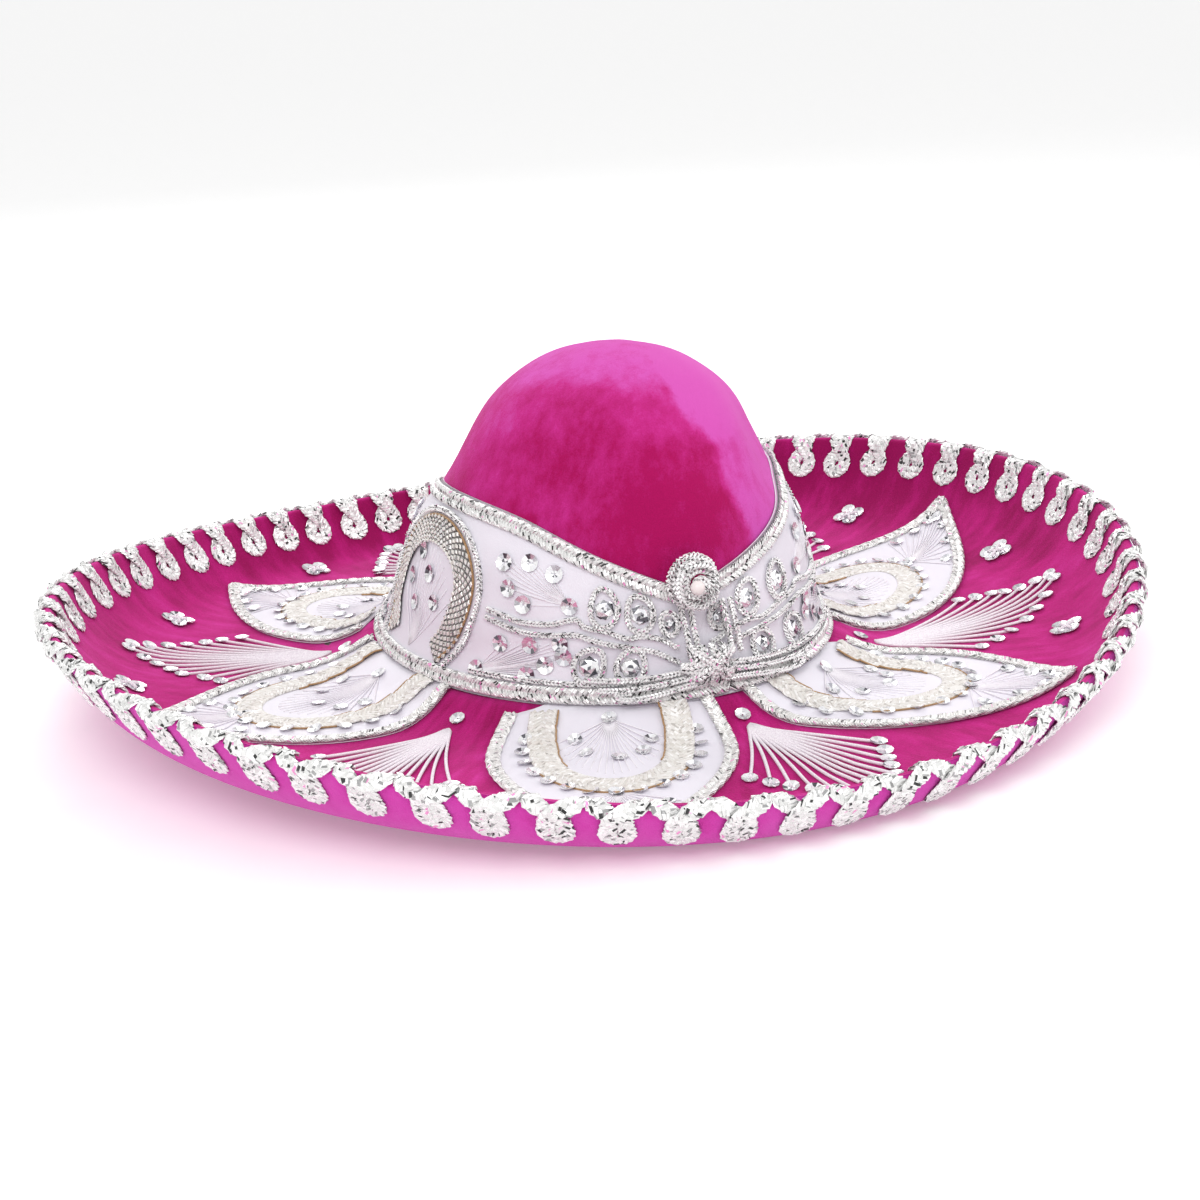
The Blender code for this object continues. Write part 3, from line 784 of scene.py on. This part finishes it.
def make_brim_velvet():
    angle = whole_turn(432)[None]
    shares = np.concatenate([np.linspace(-0.09, 0.8, 44), np.linspace(0.82, 1, 16)])[:, None]
    hem = (np.arange(1, 5) / 4 * pi / 2)[:, None]
    outward, normal = brim_frame(angle, np.ones((1, 1)))
    for name, side, first, waves, finish, node in (
        ("brim_velvet_skin", 1, -0.09, 0.8, BRIM_VELVET, "brim_velvet_top"),
        ("brim_velvet_underside", -1, -0.12, 0, UNDER_VELVET, "brim_velvet_under"),
    ):
        t = np.concatenate([[[first]], shares[1:]])
        swing = outward * np.sin(hem)[..., None] + side * normal * np.cos(hem)[..., None]
        layers = []
        for lift in (VELVET_LOW, VELVET_HIGH):
            face = brim(angle, t + 0 * angle, side * lift + unevenness(angle, t) * waves)
            rolled = brim_middle(angle, np.ones((1, 1))) + swing * lift
            layers.append(np.concatenate([face, rolled]))
        add_piece(name, slab(*layers[::side]), finish, node)


def make_crown_velvet():
    columns = 256
    angle = whole_turn(columns)[None]
    u = (1 - (1 - np.linspace(0, 1, 96)) ** 1.15)[:, None] * 0.992
    ripple = 0.35 * MM * (np.sin(5 * angle + 9 * u) * np.sin(7 * u * pi) + 0.5 * np.sin(9 * angle - 14 * u))
    ripple = ripple * np.clip((0.97 - u) * 6, 0, 1)
    points, faces = slab(*(crown(angle, u + 0 * angle, lift + ripple) for lift in (VELVET_LOW, VELVET_HIGH)))
    # The border round the top gives way to two whole discs.
    outer = len(points) // 2
    top = list(range(outer - columns, outer))
    faces = faces[:-columns].tolist() + [top[::-1], [k + outer for k in top]]
    add_piece("crown_velvet_skin", (points, faces), CROWN_VELVET, "crown_velvet")


# ---- Braid laced over the rim ----

# One turn of the lacing over the rim, in millimetres: place along the rim from the middle of the loop,
# distance over the rim (negative inside) and extra lift where it passes over itself.
INNER_LOOP = ((-3.4, -2.2, 0), (-3.2, -6, 0), (-1.5, -10.5, 0), (2.8, -14.5, 0), (5.2, -18.6, 0),
              (4.0, -22.6, 0), (0, -24.8, 0), (-4.0, -22.6, 0), (-5.2, -18.6, 0), (-2.8, -14.5, 0.9),
              (1.5, -10.5, 1.9), (3.2, -6, 0.6), (3.4, -2.2, 0))
OUTER_KNOB = ((-9.3, 0.6, 0), (-6.6, 2.8, 0), (-3.4, 4.8, 0), (0, 7.2, 0), (2.8, 10.2, 0), (3.4, 13.6, 0),
              (4.2, 17.6, 0), (3.0, 21.0, 0), (0, 22.4, 0), (-3.0, 21.0, 0), (-4.2, 17.6, 0.2),
              (-3.4, 13.6, 0.5), (-2.8, 10.2, 1.2), (0, 7.2, 1.8), (3.4, 4.8, 1.3), (6.6, 2.8, 0.4),
              (9.3, 0.6, 0))
RIM_SECTORS = 6


def rim_lace():
    """Control points of the lacing, one whole turn: angle, distance over the rim and extra lift."""
    rows = []
    for loop in range(LOOP_COUNT):
        drops = RNG.normal(0, 0.03, 2)
        for shift, path, drop in ((0, INNER_LOOP, drops[0]), (0.5, OUTER_KNOB, drops[1])):
            middle = 2 * pi * (loop + 0.5 + shift) / LOOP_COUNT
            along_rim = np.linalg.norm(brim_middle(middle + 0.01, 1.0) - brim_middle(middle, 1.0)) / 0.01
            lean = RNG.normal(0, 0.035)
            for x, distance, lift in path:
                angle = middle + (x + lean * distance) * MM / along_rim
                rows.append((angle, distance * (1 + drop) * MM, lift * MM))
    return rows + [(rows[0][0] + 2 * pi, *rows[0][1:])]


def make_rim_braid():
    lift = 3.45 * MM
    places = smooth_path(rim_lace(), per_step=8)
    places = even_steps(places, over_rim(places[:, 0], places[:, 1], lift + places[:, 2])[0], 1.35 * MM)[:-1]
    angle, distance, extra = places.T
    path, up = over_rim(angle, distance, lift + extra)
    size = -(-len(path) // RIM_SECTORS)
    for k in range(RIM_SECTORS):
        chosen = np.arange(k * size, min((k + 1) * size, len(path)) + 1) % len(path)
        braid = plait(path[chosen], up[chosen], 8.4 * MM, 2.0 * MM, 5, 11 * MM, foil=1.12)
        add_piece(f"rim_braid_plait_{k + 1}", braid, BRAID, "rim_braid")


# ---- Band ----


def make_band():
    angle = whole_turn(288)[None]
    share = np.linspace(0, 1, 22)[:, None]
    z = BAND_FOOT_Z + (band_top(angle) - BAND_FOOT_Z) * share
    pad = 0.3 * MM * np.sin(pi * share) * (1 + 0.6 * np.sin(17 * angle + 6 * share))
    add_piece("band_satin", slab(band(angle, z, 0.0), band(angle, z, 1.0 * MM + pad)), SATIN, "band_panel")
    around = whole_turn(360)
    for end, height in (
        ("top", band_top(around) - BAND_BRAID / 2 - 0.2 * MM),
        ("foot", np.full(360, BAND_FOOT_Z + BAND_BRAID / 2)),
    ):
        places = np.stack([around, height], -1)
        path, up = surface_path(band, places, 2.4 * MM, 1.2 * MM, True, smooth=False)
        braid = plait(path, up, BAND_BRAID, 2.6 * MM, 7, 12 * MM, True)
        add_piece(f"band_{end}_plait", braid, BRAID, f"band_{end}_braid")


def net(path, up, width, rows, pitch):
    """A coarse woven net laid along a path: rows of small pads set like bricks, with gaps between."""
    length = lengths(path)
    side = frames(path, up)[0]
    pad = disc_profile(((0.0001, 0), (1, 0), (0.92, 0.5), (0.6, 0.8), (0.0001, 0.85)), 4)
    made = []
    for row in range(rows):
        offset = width * ((row + 0.5) / rows - 0.5)
        marks = np.arange(pitch * (0.3 + 0.5 * (row % 2)), length[-1], pitch)
        at = sampled(marks, length, path)
        across = unit(sampled(marks, length, side))
        normal = unit(sampled(marks, length, up))
        for centre, a, n, f in zip(at + across * offset, across, normal, np.cross(normal, across)):
            basis = np.stack([f * pitch * 0.46, a * width / rows * 0.62, n * 0.9 * MM])
            small = 1 if RNG.random() > 0.06 else 0.8
            made.append((pad[0] @ (basis * small) + centre, pad[1]))
    return merged(made)


def band_cord(places, lift, width, closed=False, thick=0.85):
    """A round plaited cord of four strands, couched on the band; lift and width in mm."""
    path, up = surface_path(band, places, lift * MM, 0.9 * MM, closed)
    return plait(path, up, width * MM, width * thick * MM, 4, 7 * MM, closed, foil=1.05, flat=0.6)


def arch_places(middle, half_angle, above, below, start):
    """An arch round the peak of the band: half its width and its start in degrees, its heights in mm."""
    turn = np.linspace(radians(start), pi - radians(start), 28)
    tall = np.where(np.sin(turn) > 0, above, below)
    return np.stack([middle - radians(half_angle) * np.cos(turn), (64 + tall * np.sin(turn)) * MM], -1)


def make_arches():
    for name, side in SIDES.items():
        middle = side * pi / 2
        path, up = surface_path(band, arch_places(middle, 17, 24, 42, -50), 2.3 * MM, 1.2 * MM)
        add_piece(f"arch_net_{name}", net(path, up, 14 * MM, 7, 3.6 * MM), NET, f"arch_trim_{name}")
        add_piece(f"arch_backing_{name}", tube(path - up * 0.3 * MM, up, 6.3 * MM, 0.3 * MM, 8), BACKING)
        path, up = surface_path(band, arch_places(middle, 20.6, 30.5, 45, -48), 2.4 * MM, 1.5 * MM)
        add_piece(f"arch_edge_{name}", tube(path, up, 0.6 * MM, 0.6 * MM), EDGE_THREAD)
        outline = band_cord(arch_places(middle, 23, 33, 50, -48), 2.6, 3.3)
        add_piece(f"arch_cord_{name}_plait", outline, CORD, f"arch_cord_{name}")
        spots = ((-5, 76), (1.5, 67), (6.5, 55), (-8, 62), (-2.5, 51))
        places = [(middle - side * radians(a), z * MM) for a, z in spots]
        discs = sequins(band, places, 1.3 * MM, BAND_SEQUIN, 0.07)
        add_piece(f"arch_sequins_{name}", discs, BRIGHT_MIRROR)
        hub = (middle, 30 * MM)
        rays = [(hub, (middle + radians(a), (80 - 0.16 * a * a) * MM)) for a in np.linspace(-12, 12, 15)]
        add_piece(f"arch_threads_{name}", threads(band, rays, 1.3 * MM, 0.32 * MM), FINE_THREAD)


# A quarter of the band, from the arch (share 0) to the middle of the front or back (share 1), heights in mm.
# Each spray: its hub, then its sequins.
SPRAYS = (
    ((0.42, 65.4), ((0.05, 82), (0.19, 83), (0.33, 79), (0.10, 71), (0.19, 64.5))),
    ((0.0, 31), ((0.10, 45.3), (0.25, 46.6), (0.39, 48), (0.41, 42), (0.33, 37.4), (0.25, 31.8))),
)
SCROLLS = {
    "upper": ((0.0, 60), (0.11, 58), (0.20, 56.4), (0.34, 56.8), (0.45, 59.6), (0.50, 56.2), (0.60, 54.2),
              (0.69, 50.9), (0.76, 51.4), (0.84, 49.6), (0.93, 45.1)),
    "lower": ((0.0, 56.2), (0.09, 54.2), (0.17, 52.4), (0.27, 51.5), (0.36, 51.7), (0.46, 52.4),
              (0.55, 49.8), (0.64, 47.8), (0.71, 46.9), (0.80, 44.7), (0.87, 41.2), (0.93, 37.5)),
    "border": ((-0.03, 29.8), (0.25, 29.8), (0.5, 29.6), (0.75, 30.2), (0.95, 31)),
}
# Each stone: share, height, radius of the cord ring round it and the direction of the ring's point.
STONE_LOOPS = ((0.585, 64.0, 7.9, 1.9), (0.755, 61.0, 7.6, 2.1), (0.895, 55.5, 5.0, 2.3),
               (0.525, 37.6, 8.0, 0.9), (0.71, 37.0, 7.7, 1.1))


def make_quarter(tag, start, middle):
    """Couched cords, stone loops and sequin sprays on one quarter of the band."""

    def place(spot):
        return start + (middle - start) * spot[0], spot[1] * MM

    for row, controls in SCROLLS.items():
        nodes = [f"scroll_{row}_{tag}"] if row != "border" else []
        scroll = band_cord([place(spot) for spot in controls], 2.5, 2.9)
        add_piece(f"scroll_{row}_{tag}_plait", scroll, CORD, *nodes)
    loops, stones = [], []
    for share, z, size, lean in STONE_LOOPS:
        centre, height = place((share, z))
        turn = whole_turn(20)
        out = size * MM * (1 + 0.22 * np.exp(-((np.arccos(np.cos(turn - lean)) / 0.6) ** 2)))
        per_metre = np.sign(middle - start) * 0.9 / (BAND_WAIST_X * CROWN_OVAL)
        ring = np.stack([centre + out * np.cos(turn) * per_metre, height + out * np.sin(turn)], -1)
        loops.append(band_cord(ring, 2.5, 3.2, True, 2.6 / 3.2))
        stones += set_on(STONE_SHAPE, *on_surface(band, [(centre, height)], 1.2 * MM), size * 0.62 * MM, 0.05)
    add_piece(f"stone_loops_{tag}", loops, CORD)
    add_piece(f"rhinestones_{tag}", stones, STONE)
    discs, stitches = [], []
    for hub, spots in SPRAYS:
        hub = place(hub)
        places = [place(spot) for spot in spots]
        discs += sequins(band, [*places, hub], 1.3 * MM, BAND_SEQUIN, 0.07)
        ends = np.array(sorted(places, key=lambda end: np.arctan2(end[1] - hub[1], end[0] - hub[0])))
        fan = sampled(np.linspace(0, 1, 16), np.linspace(0, 1, len(ends)), ends)
        stitches += threads(band, [(hub, end) for end in fan], 1.3 * MM, 0.32 * MM)
    add_piece(f"band_sequins_{tag}", discs, BRIGHT_MIRROR)
    add_piece(f"band_threads_{tag}", stitches, FINE_THREAD)


def make_quarters():
    for name, side in SIDES.items():
        make_quarter(f"front_{name}", side * QUARTER_START, FRONT)
        make_quarter(f"rear_{name}", side * (pi - QUARTER_START), pi * side)


# ---- Rosette and knot on the front ----


def centre_of(node):
    low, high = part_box(node)
    return np.array((low + high) / 2)


def turned(angle):
    """The matrix of a turn about the vertical axis."""
    return np.array(Matrix.Rotation(angle, 3, "Z"))


def fat_braid(path, up, width=4.4 * MM, thick=3.0 * MM):
    return plait(path, up, width, thick, 4, 8 * MM, flat=0.55)


def spun(size, turns, spacing):
    """A cord wound from the edge of a dome to its top, and its normals; the dome faces the front."""
    share = np.linspace(0, 1, 400)
    round_turn = 2 * pi * turns * share
    polar = (1 - share) * pi / 2 * 0.96 + 0.08
    half = np.array([size[0] / 2, size[1], size[2] / 2])
    path = half * xyz(np.sin(polar) * np.cos(round_turn), -np.cos(polar), np.sin(polar) * np.sin(round_turn))
    path = even_steps(path, path, spacing)
    return path, unit(path / half**2)


def make_rosette():
    """A wound cord with three more turns round it, and a pearl on its face."""
    turn = turned(FRONT)
    centre = centre_of("front_rosette")
    base = centre + turn @ np.array([0, 3 * MM, 0])
    path, up = spun((23 * MM, 9 * MM, 24 * MM), 3.6, 0.9 * MM)
    parts = [fat_braid(path @ turn.T + base, up @ turn.T, 4.2 * MM, 3.4 * MM)]
    for start, end in ((0.5, 2.5), (2.3, 4.6), (4.2, 6.3)):
        arc = np.linspace(start, end, 12)
        rise = np.sin((arc - start) / (end - start) * pi)
        ring = xyz(9.5 * np.cos(arc), -6.5 - 3 * rise, 10.5 * np.sin(arc)) * MM
        ring = smooth_steps(ring, 0.9 * MM)
        parts.append(fat_braid(ring @ turn.T + base, unit(ring) @ turn.T, 4.0 * MM))
    add_piece("front_rosette_braid", parts, CORD, "front_rosette")
    arc = np.linspace(0, pi, 14)
    sphere = disc_profile([(max(1e-4, 3.4 * sin(a)), -3.4 * cos(a)) for a in arc], 20)
    pearl_at = centre + turn @ np.array([-2.2 * MM, -9.6 * MM, 0.5 * MM])
    add_piece("front_pearl", (sphere[0] * MM + pearl_at, sphere[1]), PEARL)


# Each wrap of the knot: its direction in degrees, half its length, its distance from the middle of
# the knot and how far it bulges, in mm.
KNOT_WRAPS = ((90, 8.5, -6.5, 5.0), (90, 8.5, -1.5, 6.0), (90, 8.5, 3.5, 5.2), (12, 13.5, 3.0, 5.4),
              (-8, 13.5, -2.5, 5.8), (30, 13.5, -0.5, 6.6), (-38, 13.5, 1.0, 6.4), (90, 8.5, 8.5, 4.0))
# Each tail: its lift in mm, then its places, degrees from the knot and height in mm.
KNOT_TAILS = (
    (5.0, ((3, 35), (9, 33.0), (17, 31.6), (26, 31.0), (37, 31.5))),
    (5.6, ((3, 31), (9, 29.5), (17, 27.8), (26, 26.6), (33, 26.6))),
    (5.8, ((3, 27), (9, 26), (15, 24.2), (21, 22.6), (26, 22.4), (28, 24.4), (24, 25.2))),
)


def make_knot():
    """The lower knot, the two straps above it and its tails along the band's foot."""
    knot = centre_of("front_knot")
    knot_angle = np.arctan2(knot[0], -knot[1])
    turn = turned(knot_angle)
    wraps = []
    for direction, half, offset, bulge in KNOT_WRAPS:
        spin = radians(direction)
        across = np.linspace(-1, 1, 15)
        wrap = xyz(across * half * cos(spin) - offset * sin(spin),
                   3.5 - bulge * np.sqrt(np.maximum(0, 1.02 - across**2)),
                   across * half * sin(spin) + offset * cos(spin)) * MM
        wrap = smooth_steps(wrap, 0.9 * MM)
        up = unit(wrap - np.array([0, 9 * MM, 0]))
        wraps.append(fat_braid(wrap @ turn.T + knot, up @ turn.T))
    add_piece("front_knot_braid", wraps, CORD, "front_knot")

    for name, side in SIDES.items():
        straps = []
        for shift in (-1.6, 1.6):
            top = radians(-5 + side * 5.9 + shift * 0.75)
            foot = radians(-3.2 + side * 5.6 + shift * 0.75)
            share = np.linspace(0, 1, 9)
            places = np.stack([top + (foot - top) * share, (64 - 26 * share) * MM], -1)
            straps.append(band_cord(places, 5.2, 3.2))
        add_piece(f"tie_strap_{name}", straps, CORD, f"tie_cord_{name}")
        tails = []
        spread = 1 if side > 0 else 0.82
        for row, (lift, sweep) in enumerate(KNOT_TAILS):
            places = [(knot_angle + side * radians(a * spread), z * MM) for a, z in sweep]
            tails.append(band_cord(places, lift, 3.2 - 0.1 * row))
        add_piece(f"foot_tails_{name}", tails, CORD, f"foot_cord_{name}")


# ---- Petals, fans and flowers on the brim ----


def petal_cloth(name, on_brim, stretch, phase):
    """Padded satin, drawn in at its edge with fine puckers."""
    share = np.linspace(0, 0.965, 34)[:, None]
    across = np.linspace(-1, 1, 29)[None]
    t, half = bezier(PETAL_OUTLINE, share)
    t = t * stretch
    half = half * MM - 1.5 * MM
    pad = SATIN_PAD * (1 - across**2) * np.minimum(1, 6 * share) * np.minimum(1, 5 * (1 - share))
    pucker = 0.12 * MM * np.sin(11 * np.arctan2(across * half, (t - 0.02) * 0.15) + phase)
    lifts = (SATIN_LOW + 0 * pad, SATIN_EDGE + pad + pucker * (1 - across**2))
    cloth = slab(*(on_brim(t + 0 * across, half * across, lift) for lift in lifts), closed=False)
    add_piece(f"petal_satin_{name}_cloth", cloth, SATIN, f"petal_satin_{name}")


def petal_edge_braid(name, on_brim, stretch):
    turn = np.linspace(-1, 1, 45)
    t, half = bezier(PETAL_OUTLINE, 1 - np.abs(turn))
    edge = np.stack([t * stretch, (half - 4) * MM * np.sign(turn)], -1)[half > 4.5]
    path, up = surface_path(on_brim, edge, TRIM_LIFT, 1.1 * MM)
    braid = plait(path, up, 7.2 * MM, 2.4 * MM, 7, 9 * MM)
    add_piece(f"petal_braid_{name}_plait", braid, SOFT_BRAID, f"petal_braid_{name}")


def petal_shoe(name, on_brim):
    """The horseshoe of woven trim, pleated on its two legs, with a thread along its edge."""
    step = 1.1 * MM
    shoe = [(-0.03, -29 * MM), (0.08, -31 * MM)]
    shoe += [(0.20 + 0.27 * sin(b), -30.5 * MM * cos(b)) for b in np.linspace(0, pi, 17)]
    shoe += [(0.08, 31 * MM), (-0.03, 29 * MM)]
    path, up = surface_path(on_brim, shoe, TRIM_LIFT, step)
    length = np.arange(len(path)) * step
    from_end = np.minimum(length, length[-1] - length)
    pleats = 0.9 * MM * ((length / (11 * MM)) % 1.0) * (from_end < 46 * MM)
    path = path + lift_by(up, pleats)
    weave = plait(path, up, 13.4 * MM, 1.9 * MM, 9, 22 * MM, foil=0.95)
    add_piece(f"petal_shoe_{name}_weave", weave, WOVEN, f"petal_horseshoe_{name}")
    side = np.cross(unit(np.gradient(path, axis=0)), up)
    bend = from_end > 50 * MM
    middle = length[-1] / 2
    stitches = []
    for chosen, offset in ((~bend & (length < middle), -6.9), (~bend & (length > middle), -6.9), (bend, 6.9)):
        line = (path + side * offset * MM)[chosen]
        stitches.append(tube(line, up[chosen], 0.5 * MM, 0.5 * MM, 5))
    add_piece(f"petal_shoe_{name}_edge", stitches, EDGE_THREAD)


def petal_sprays(name, on_brim, stretch):
    """Two sprays of sequins and fine thread, at the petal's foot and towards its tip."""
    hub = (0.035, 0.0)
    inner = [(0.12, -16 * MM), (0.21, -11.5 * MM), (0.26, 3 * MM), (0.215, 14 * MM), (0.14, 18 * MM)]
    outer = [(0.19 + 0.335 * max(-0.4, sin(b)), -40 * MM * cos(b)) for b in np.linspace(-0.30, pi + 0.30, 15)]
    tip_hub = (0.52 * stretch, 0.5 * MM)

    def tip(a, length, wide):
        """A place on the upper spray's edge, in the direction a."""
        along = (0.81 - 0.52) * stretch * length * cos(a) ** 1.3
        return tip_hub[0] + along, wide * MM * sin(a) * (1.1 - 0.55 * cos(a))

    tips = [tip(a, 0.92, 27) for a in np.linspace(-1.15, 1.15, 7)]
    discs = sequins(on_brim, [hub, *inner, tip_hub, *tips], 4.4 * MM, SEQUIN * 0.92, 0.1)
    discs += sequins(on_brim, outer, 4.5 * MM, SEQUIN * 0.9, 0.14)
    add_piece(f"petal_sequins_{name}", discs, MIRROR)
    rays = [(hub, (0.035 + 0.345 * cos(a), 25 * MM * sin(a))) for a in np.linspace(-1.3, 1.3, 19)]
    rays += [(tip_hub, tip(a, 1, 31)) for a in np.linspace(-1.25, 1.25, 17)]
    add_piece(f"petal_threads_{name}", threads(on_brim, rays, 4.4 * MM, 0.34 * MM), FINE_THREAD)


def make_petals():
    for name, petal in PETALS.items():
        stretch = petal[2] / PETAL_OUTLINE[-1][0]

        def on_brim(t, across, lift, petal=petal):
            return brim_at(*petal_plan(petal, t, across), lift)

        petal_cloth(name, on_brim, stretch, petal[0])
        petal_edge_braid(name, on_brim, stretch)
        petal_shoe(name, on_brim)
        petal_sprays(name, on_brim, stretch)


def make_flowers(name, fan):
    """A flower of four sequins with knotted threads on each side of a fan."""
    discs, knots = [], []
    for side in SIDES.values():
        centre = fan_angle(fan, FLOWER_T) + side * FLOWER_OFFSET
        for turn in whole_turn(4) + pi / 4 + 0.2:
            spot = (centre + FLOWER_REACH * cos(turn) / reach(centre, FLOWER_T),
                    FLOWER_T + FLOWER_REACH * sin(turn) / BRIM_WIDTH)
            discs += sequins(brim, [spot], 3.0 * MM, SEQUIN * 1.08, 0.05)
            knots += threads(brim, [((centre, FLOWER_T), spot)], 4.2 * MM, 0.8 * MM, 0.5 * MM, 6, 4)
    add_piece(f"flower_sequins_{name}", discs, MIRROR)
    add_piece(f"flower_threads_{name}", knots, THREAD)


def make_fans():
    for name, fan in FANS.items():
        across = np.linspace(-1, 1, 14)
        reaches = FAN_TIP_T + (FAN_SIDE_T - FAN_TIP_T) * np.abs(across) + RNG.normal(0, 0.005, len(across))
        foot = fan_angle(fan, FAN_FOOT_T)
        starts = [(foot + radians(0.7) * a, FAN_FOOT_T + 0.012 * abs(a)) for a in across]
        ends = [(fan_angle(fan, t) + FAN_HALF_ANGLE * a, t) for a, t in zip(across, reaches)]
        stitches = threads(brim, zip(starts, ends), 3.4 * MM, 0.82 * MM, 0.6 * MM, 6, 12)
        add_piece(f"fan_threads_{name}", stitches, THREAD, f"fan_stitching_{name}")
        discs = sequins(brim, [*ends, (foot, FAN_FOOT_T - 0.05)], 3.0 * MM, SEQUIN, 0.07)
        add_piece(f"fan_sequins_{name}", discs, MIRROR)
        make_flowers(name, fan)


# ---- Inside of the hat ----


def make_sweatband():
    angle = whole_turn(128)[None]
    rows = np.linspace(0, 1, 10)[:, None]
    foot = CROWN_WALL[0][0] * MM
    height = 32 * MM
    walls = []
    for inset in (1.2 * MM, 0.0):
        half = foot - 3.6 * MM - inset - 1.2 * MM * rows - 0.5 * MM * np.sin(pi * rows)
        y = -half * CROWN_OVAL * np.cos(angle) - CROWN_LEAN * height * rows
        walls.append(xyz(half * np.sin(angle), y, 24 * MM + height * rows + 0 * angle))
    add_piece("sweatband_leather", slab(*walls), LEATHER, "sweatband")
    half = foot - 5.0 * MM
    share = np.linspace(-1, 1, 5)[:, None]
    stitches = []
    for turn in whole_turn(96):
        centre = np.array([half * sin(turn), -half * CROWN_OVAL * cos(turn), 26.5 * MM])
        along = unit(np.array([half * cos(turn), half * CROWN_OVAL * sin(turn), 0.0]))
        inward = np.array([-sin(turn), cos(turn), 0.0])
        path = centre + along * share * 1.7 * MM + inward * 0.25 * MM * (1 - share**2)
        stitches.append(tube(path, np.tile(inward, (5, 1)), 0.3 * MM, 0.3 * MM))
    add_piece("sweatband_stitches", stitches, FINE_THREAD)


def make_lining():
    angle = whole_turn(128)[None]
    u = np.linspace(0.28, 0.985, 60)[:, None]
    folds = 0.35 * MM * np.sin(24 * angle) * np.clip((0.9 - u) * 4, 0, 1)
    layers = [crown(angle, u + 0 * angle, lift + folds) for lift in (-2.3 * MM, -1.8 * MM)]
    add_piece("crown_lining_cloth", slab(*layers), LINING, "crown_lining")


def colour_hidden_nodes():
    """The felt and the wire keep their CAD shape."""
    for node, finish in (("brim_body", FELT), ("crown_body", FELT), ("rim_wire", STEEL)):
        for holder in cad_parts[node].material_slots:
            holder.material = finish.material


# ---- Studio ----


def make_world(scene):
    """Cloth sees even light, mirror facets see bright panels and dark gaps, the camera sees white."""
    scene.world = bpy.data.worlds.new("studio")
    n = Nodes(scene.world)
    white = (1.0, 1.0, 1.0)
    light = n.tree.nodes["Background"]
    n.put(light.inputs["Color"], white)
    n.put(light.inputs["Strength"], 0.78)
    ray = n.add("ShaderNodeLightPath").outputs
    where = n.add("ShaderNodeTexCoord").outputs["Generated"]
    panels = n.add("ShaderNodeTexNoise", Vector=where, Scale=2.6, Detail=1.0).outputs[0]
    panels = n.ramp(panels, ((0.36, 0.16), (0.48, 0.74), (1.0, 1.0)), "EASE")
    for kind, colour, strength in (("Is Glossy Ray", panels, 1.35), ("Is Camera Ray", white, 1.0)):
        seen = n.add("ShaderNodeBackground", Color=colour, Strength=strength)
        choose = n.add("ShaderNodeMixShader")
        n.fill(choose, (ray[kind], light.outputs[0], seen.outputs[0]))
        light = choose
    n.put(n.tree.nodes["World Output"].inputs["Surface"], light.outputs[0])


def make_lights():
    for name, place, size, power in (
        ("key", (-0.9, -1.1, 1.5), 1.0, 14),
        ("fill", (1.2, -0.5, 1.0), 0.9, 6),
        ("rim_light", (0.3, 1.3, 1.2), 0.9, 8),
    ):
        light = bpy.data.lights.new(name, "AREA")
        light.size = size
        light.energy = power
        lamp = add_object(name, light)
        lamp.location = place
        lamp.rotation_euler = (-Vector(place)).to_track_quat("-Z", "Y").to_euler()


def make_floor():
    mesh = bpy.data.meshes.new("studio_floor")
    mesh.from_pydata([(30 * cos(a), 30 * sin(a), -0.2 * MM) for a in whole_turn(64)], [], [list(range(64))])
    paper = material_nodes("studio_paper")
    colour = paper.ramp(paper.noise(40, 3), ((0.3, 0.90), (0.7, 0.93)))
    paper.set(Base_Color=colour, Roughness=0.9, Emission_Color=(1.0, 1.0, 1.0), Emission_Strength=0.2)
    mesh.materials.append(paper.owner)
    add_object("studio_floor", mesh)


def make_camera(scene):
    """The view from the front left, tilted a little about its own axis."""
    azimuth, elevation, tilt = radians(-28), radians(17.9), 0.0466
    right = Vector((cos(azimuth), sin(azimuth), 0))
    back = Vector((sin(azimuth) * cos(elevation), -cos(azimuth) * cos(elevation), sin(elevation)))
    across = (right - back.cross(right) * tilt).normalized()
    lens = bpy.data.cameras.new("camera")
    lens.sensor_width = 36
    lens.lens = 62.0
    camera = add_object("camera", lens)
    place = Vector((0, 0, 0.0323)) + right * 0.0005 + back * 1.062
    axes = Matrix((across, back.cross(across), back)).transposed()
    camera.matrix_world = Matrix.Translation(place) @ axes.to_4x4()
    scene.camera = camera


def make_studio():
    scene = bpy.context.scene
    scene.view_settings.view_transform = "Standard"
    make_world(scene)
    make_lights()
    make_floor()
    make_camera(scene)


make_brim_velvet()
make_crown_velvet()
make_rim_braid()
make_band()
make_arches()
make_quarters()
make_rosette()
make_knot()
make_petals()
make_fans()
make_sweatband()
make_lining()
colour_hidden_nodes()
make_studio()
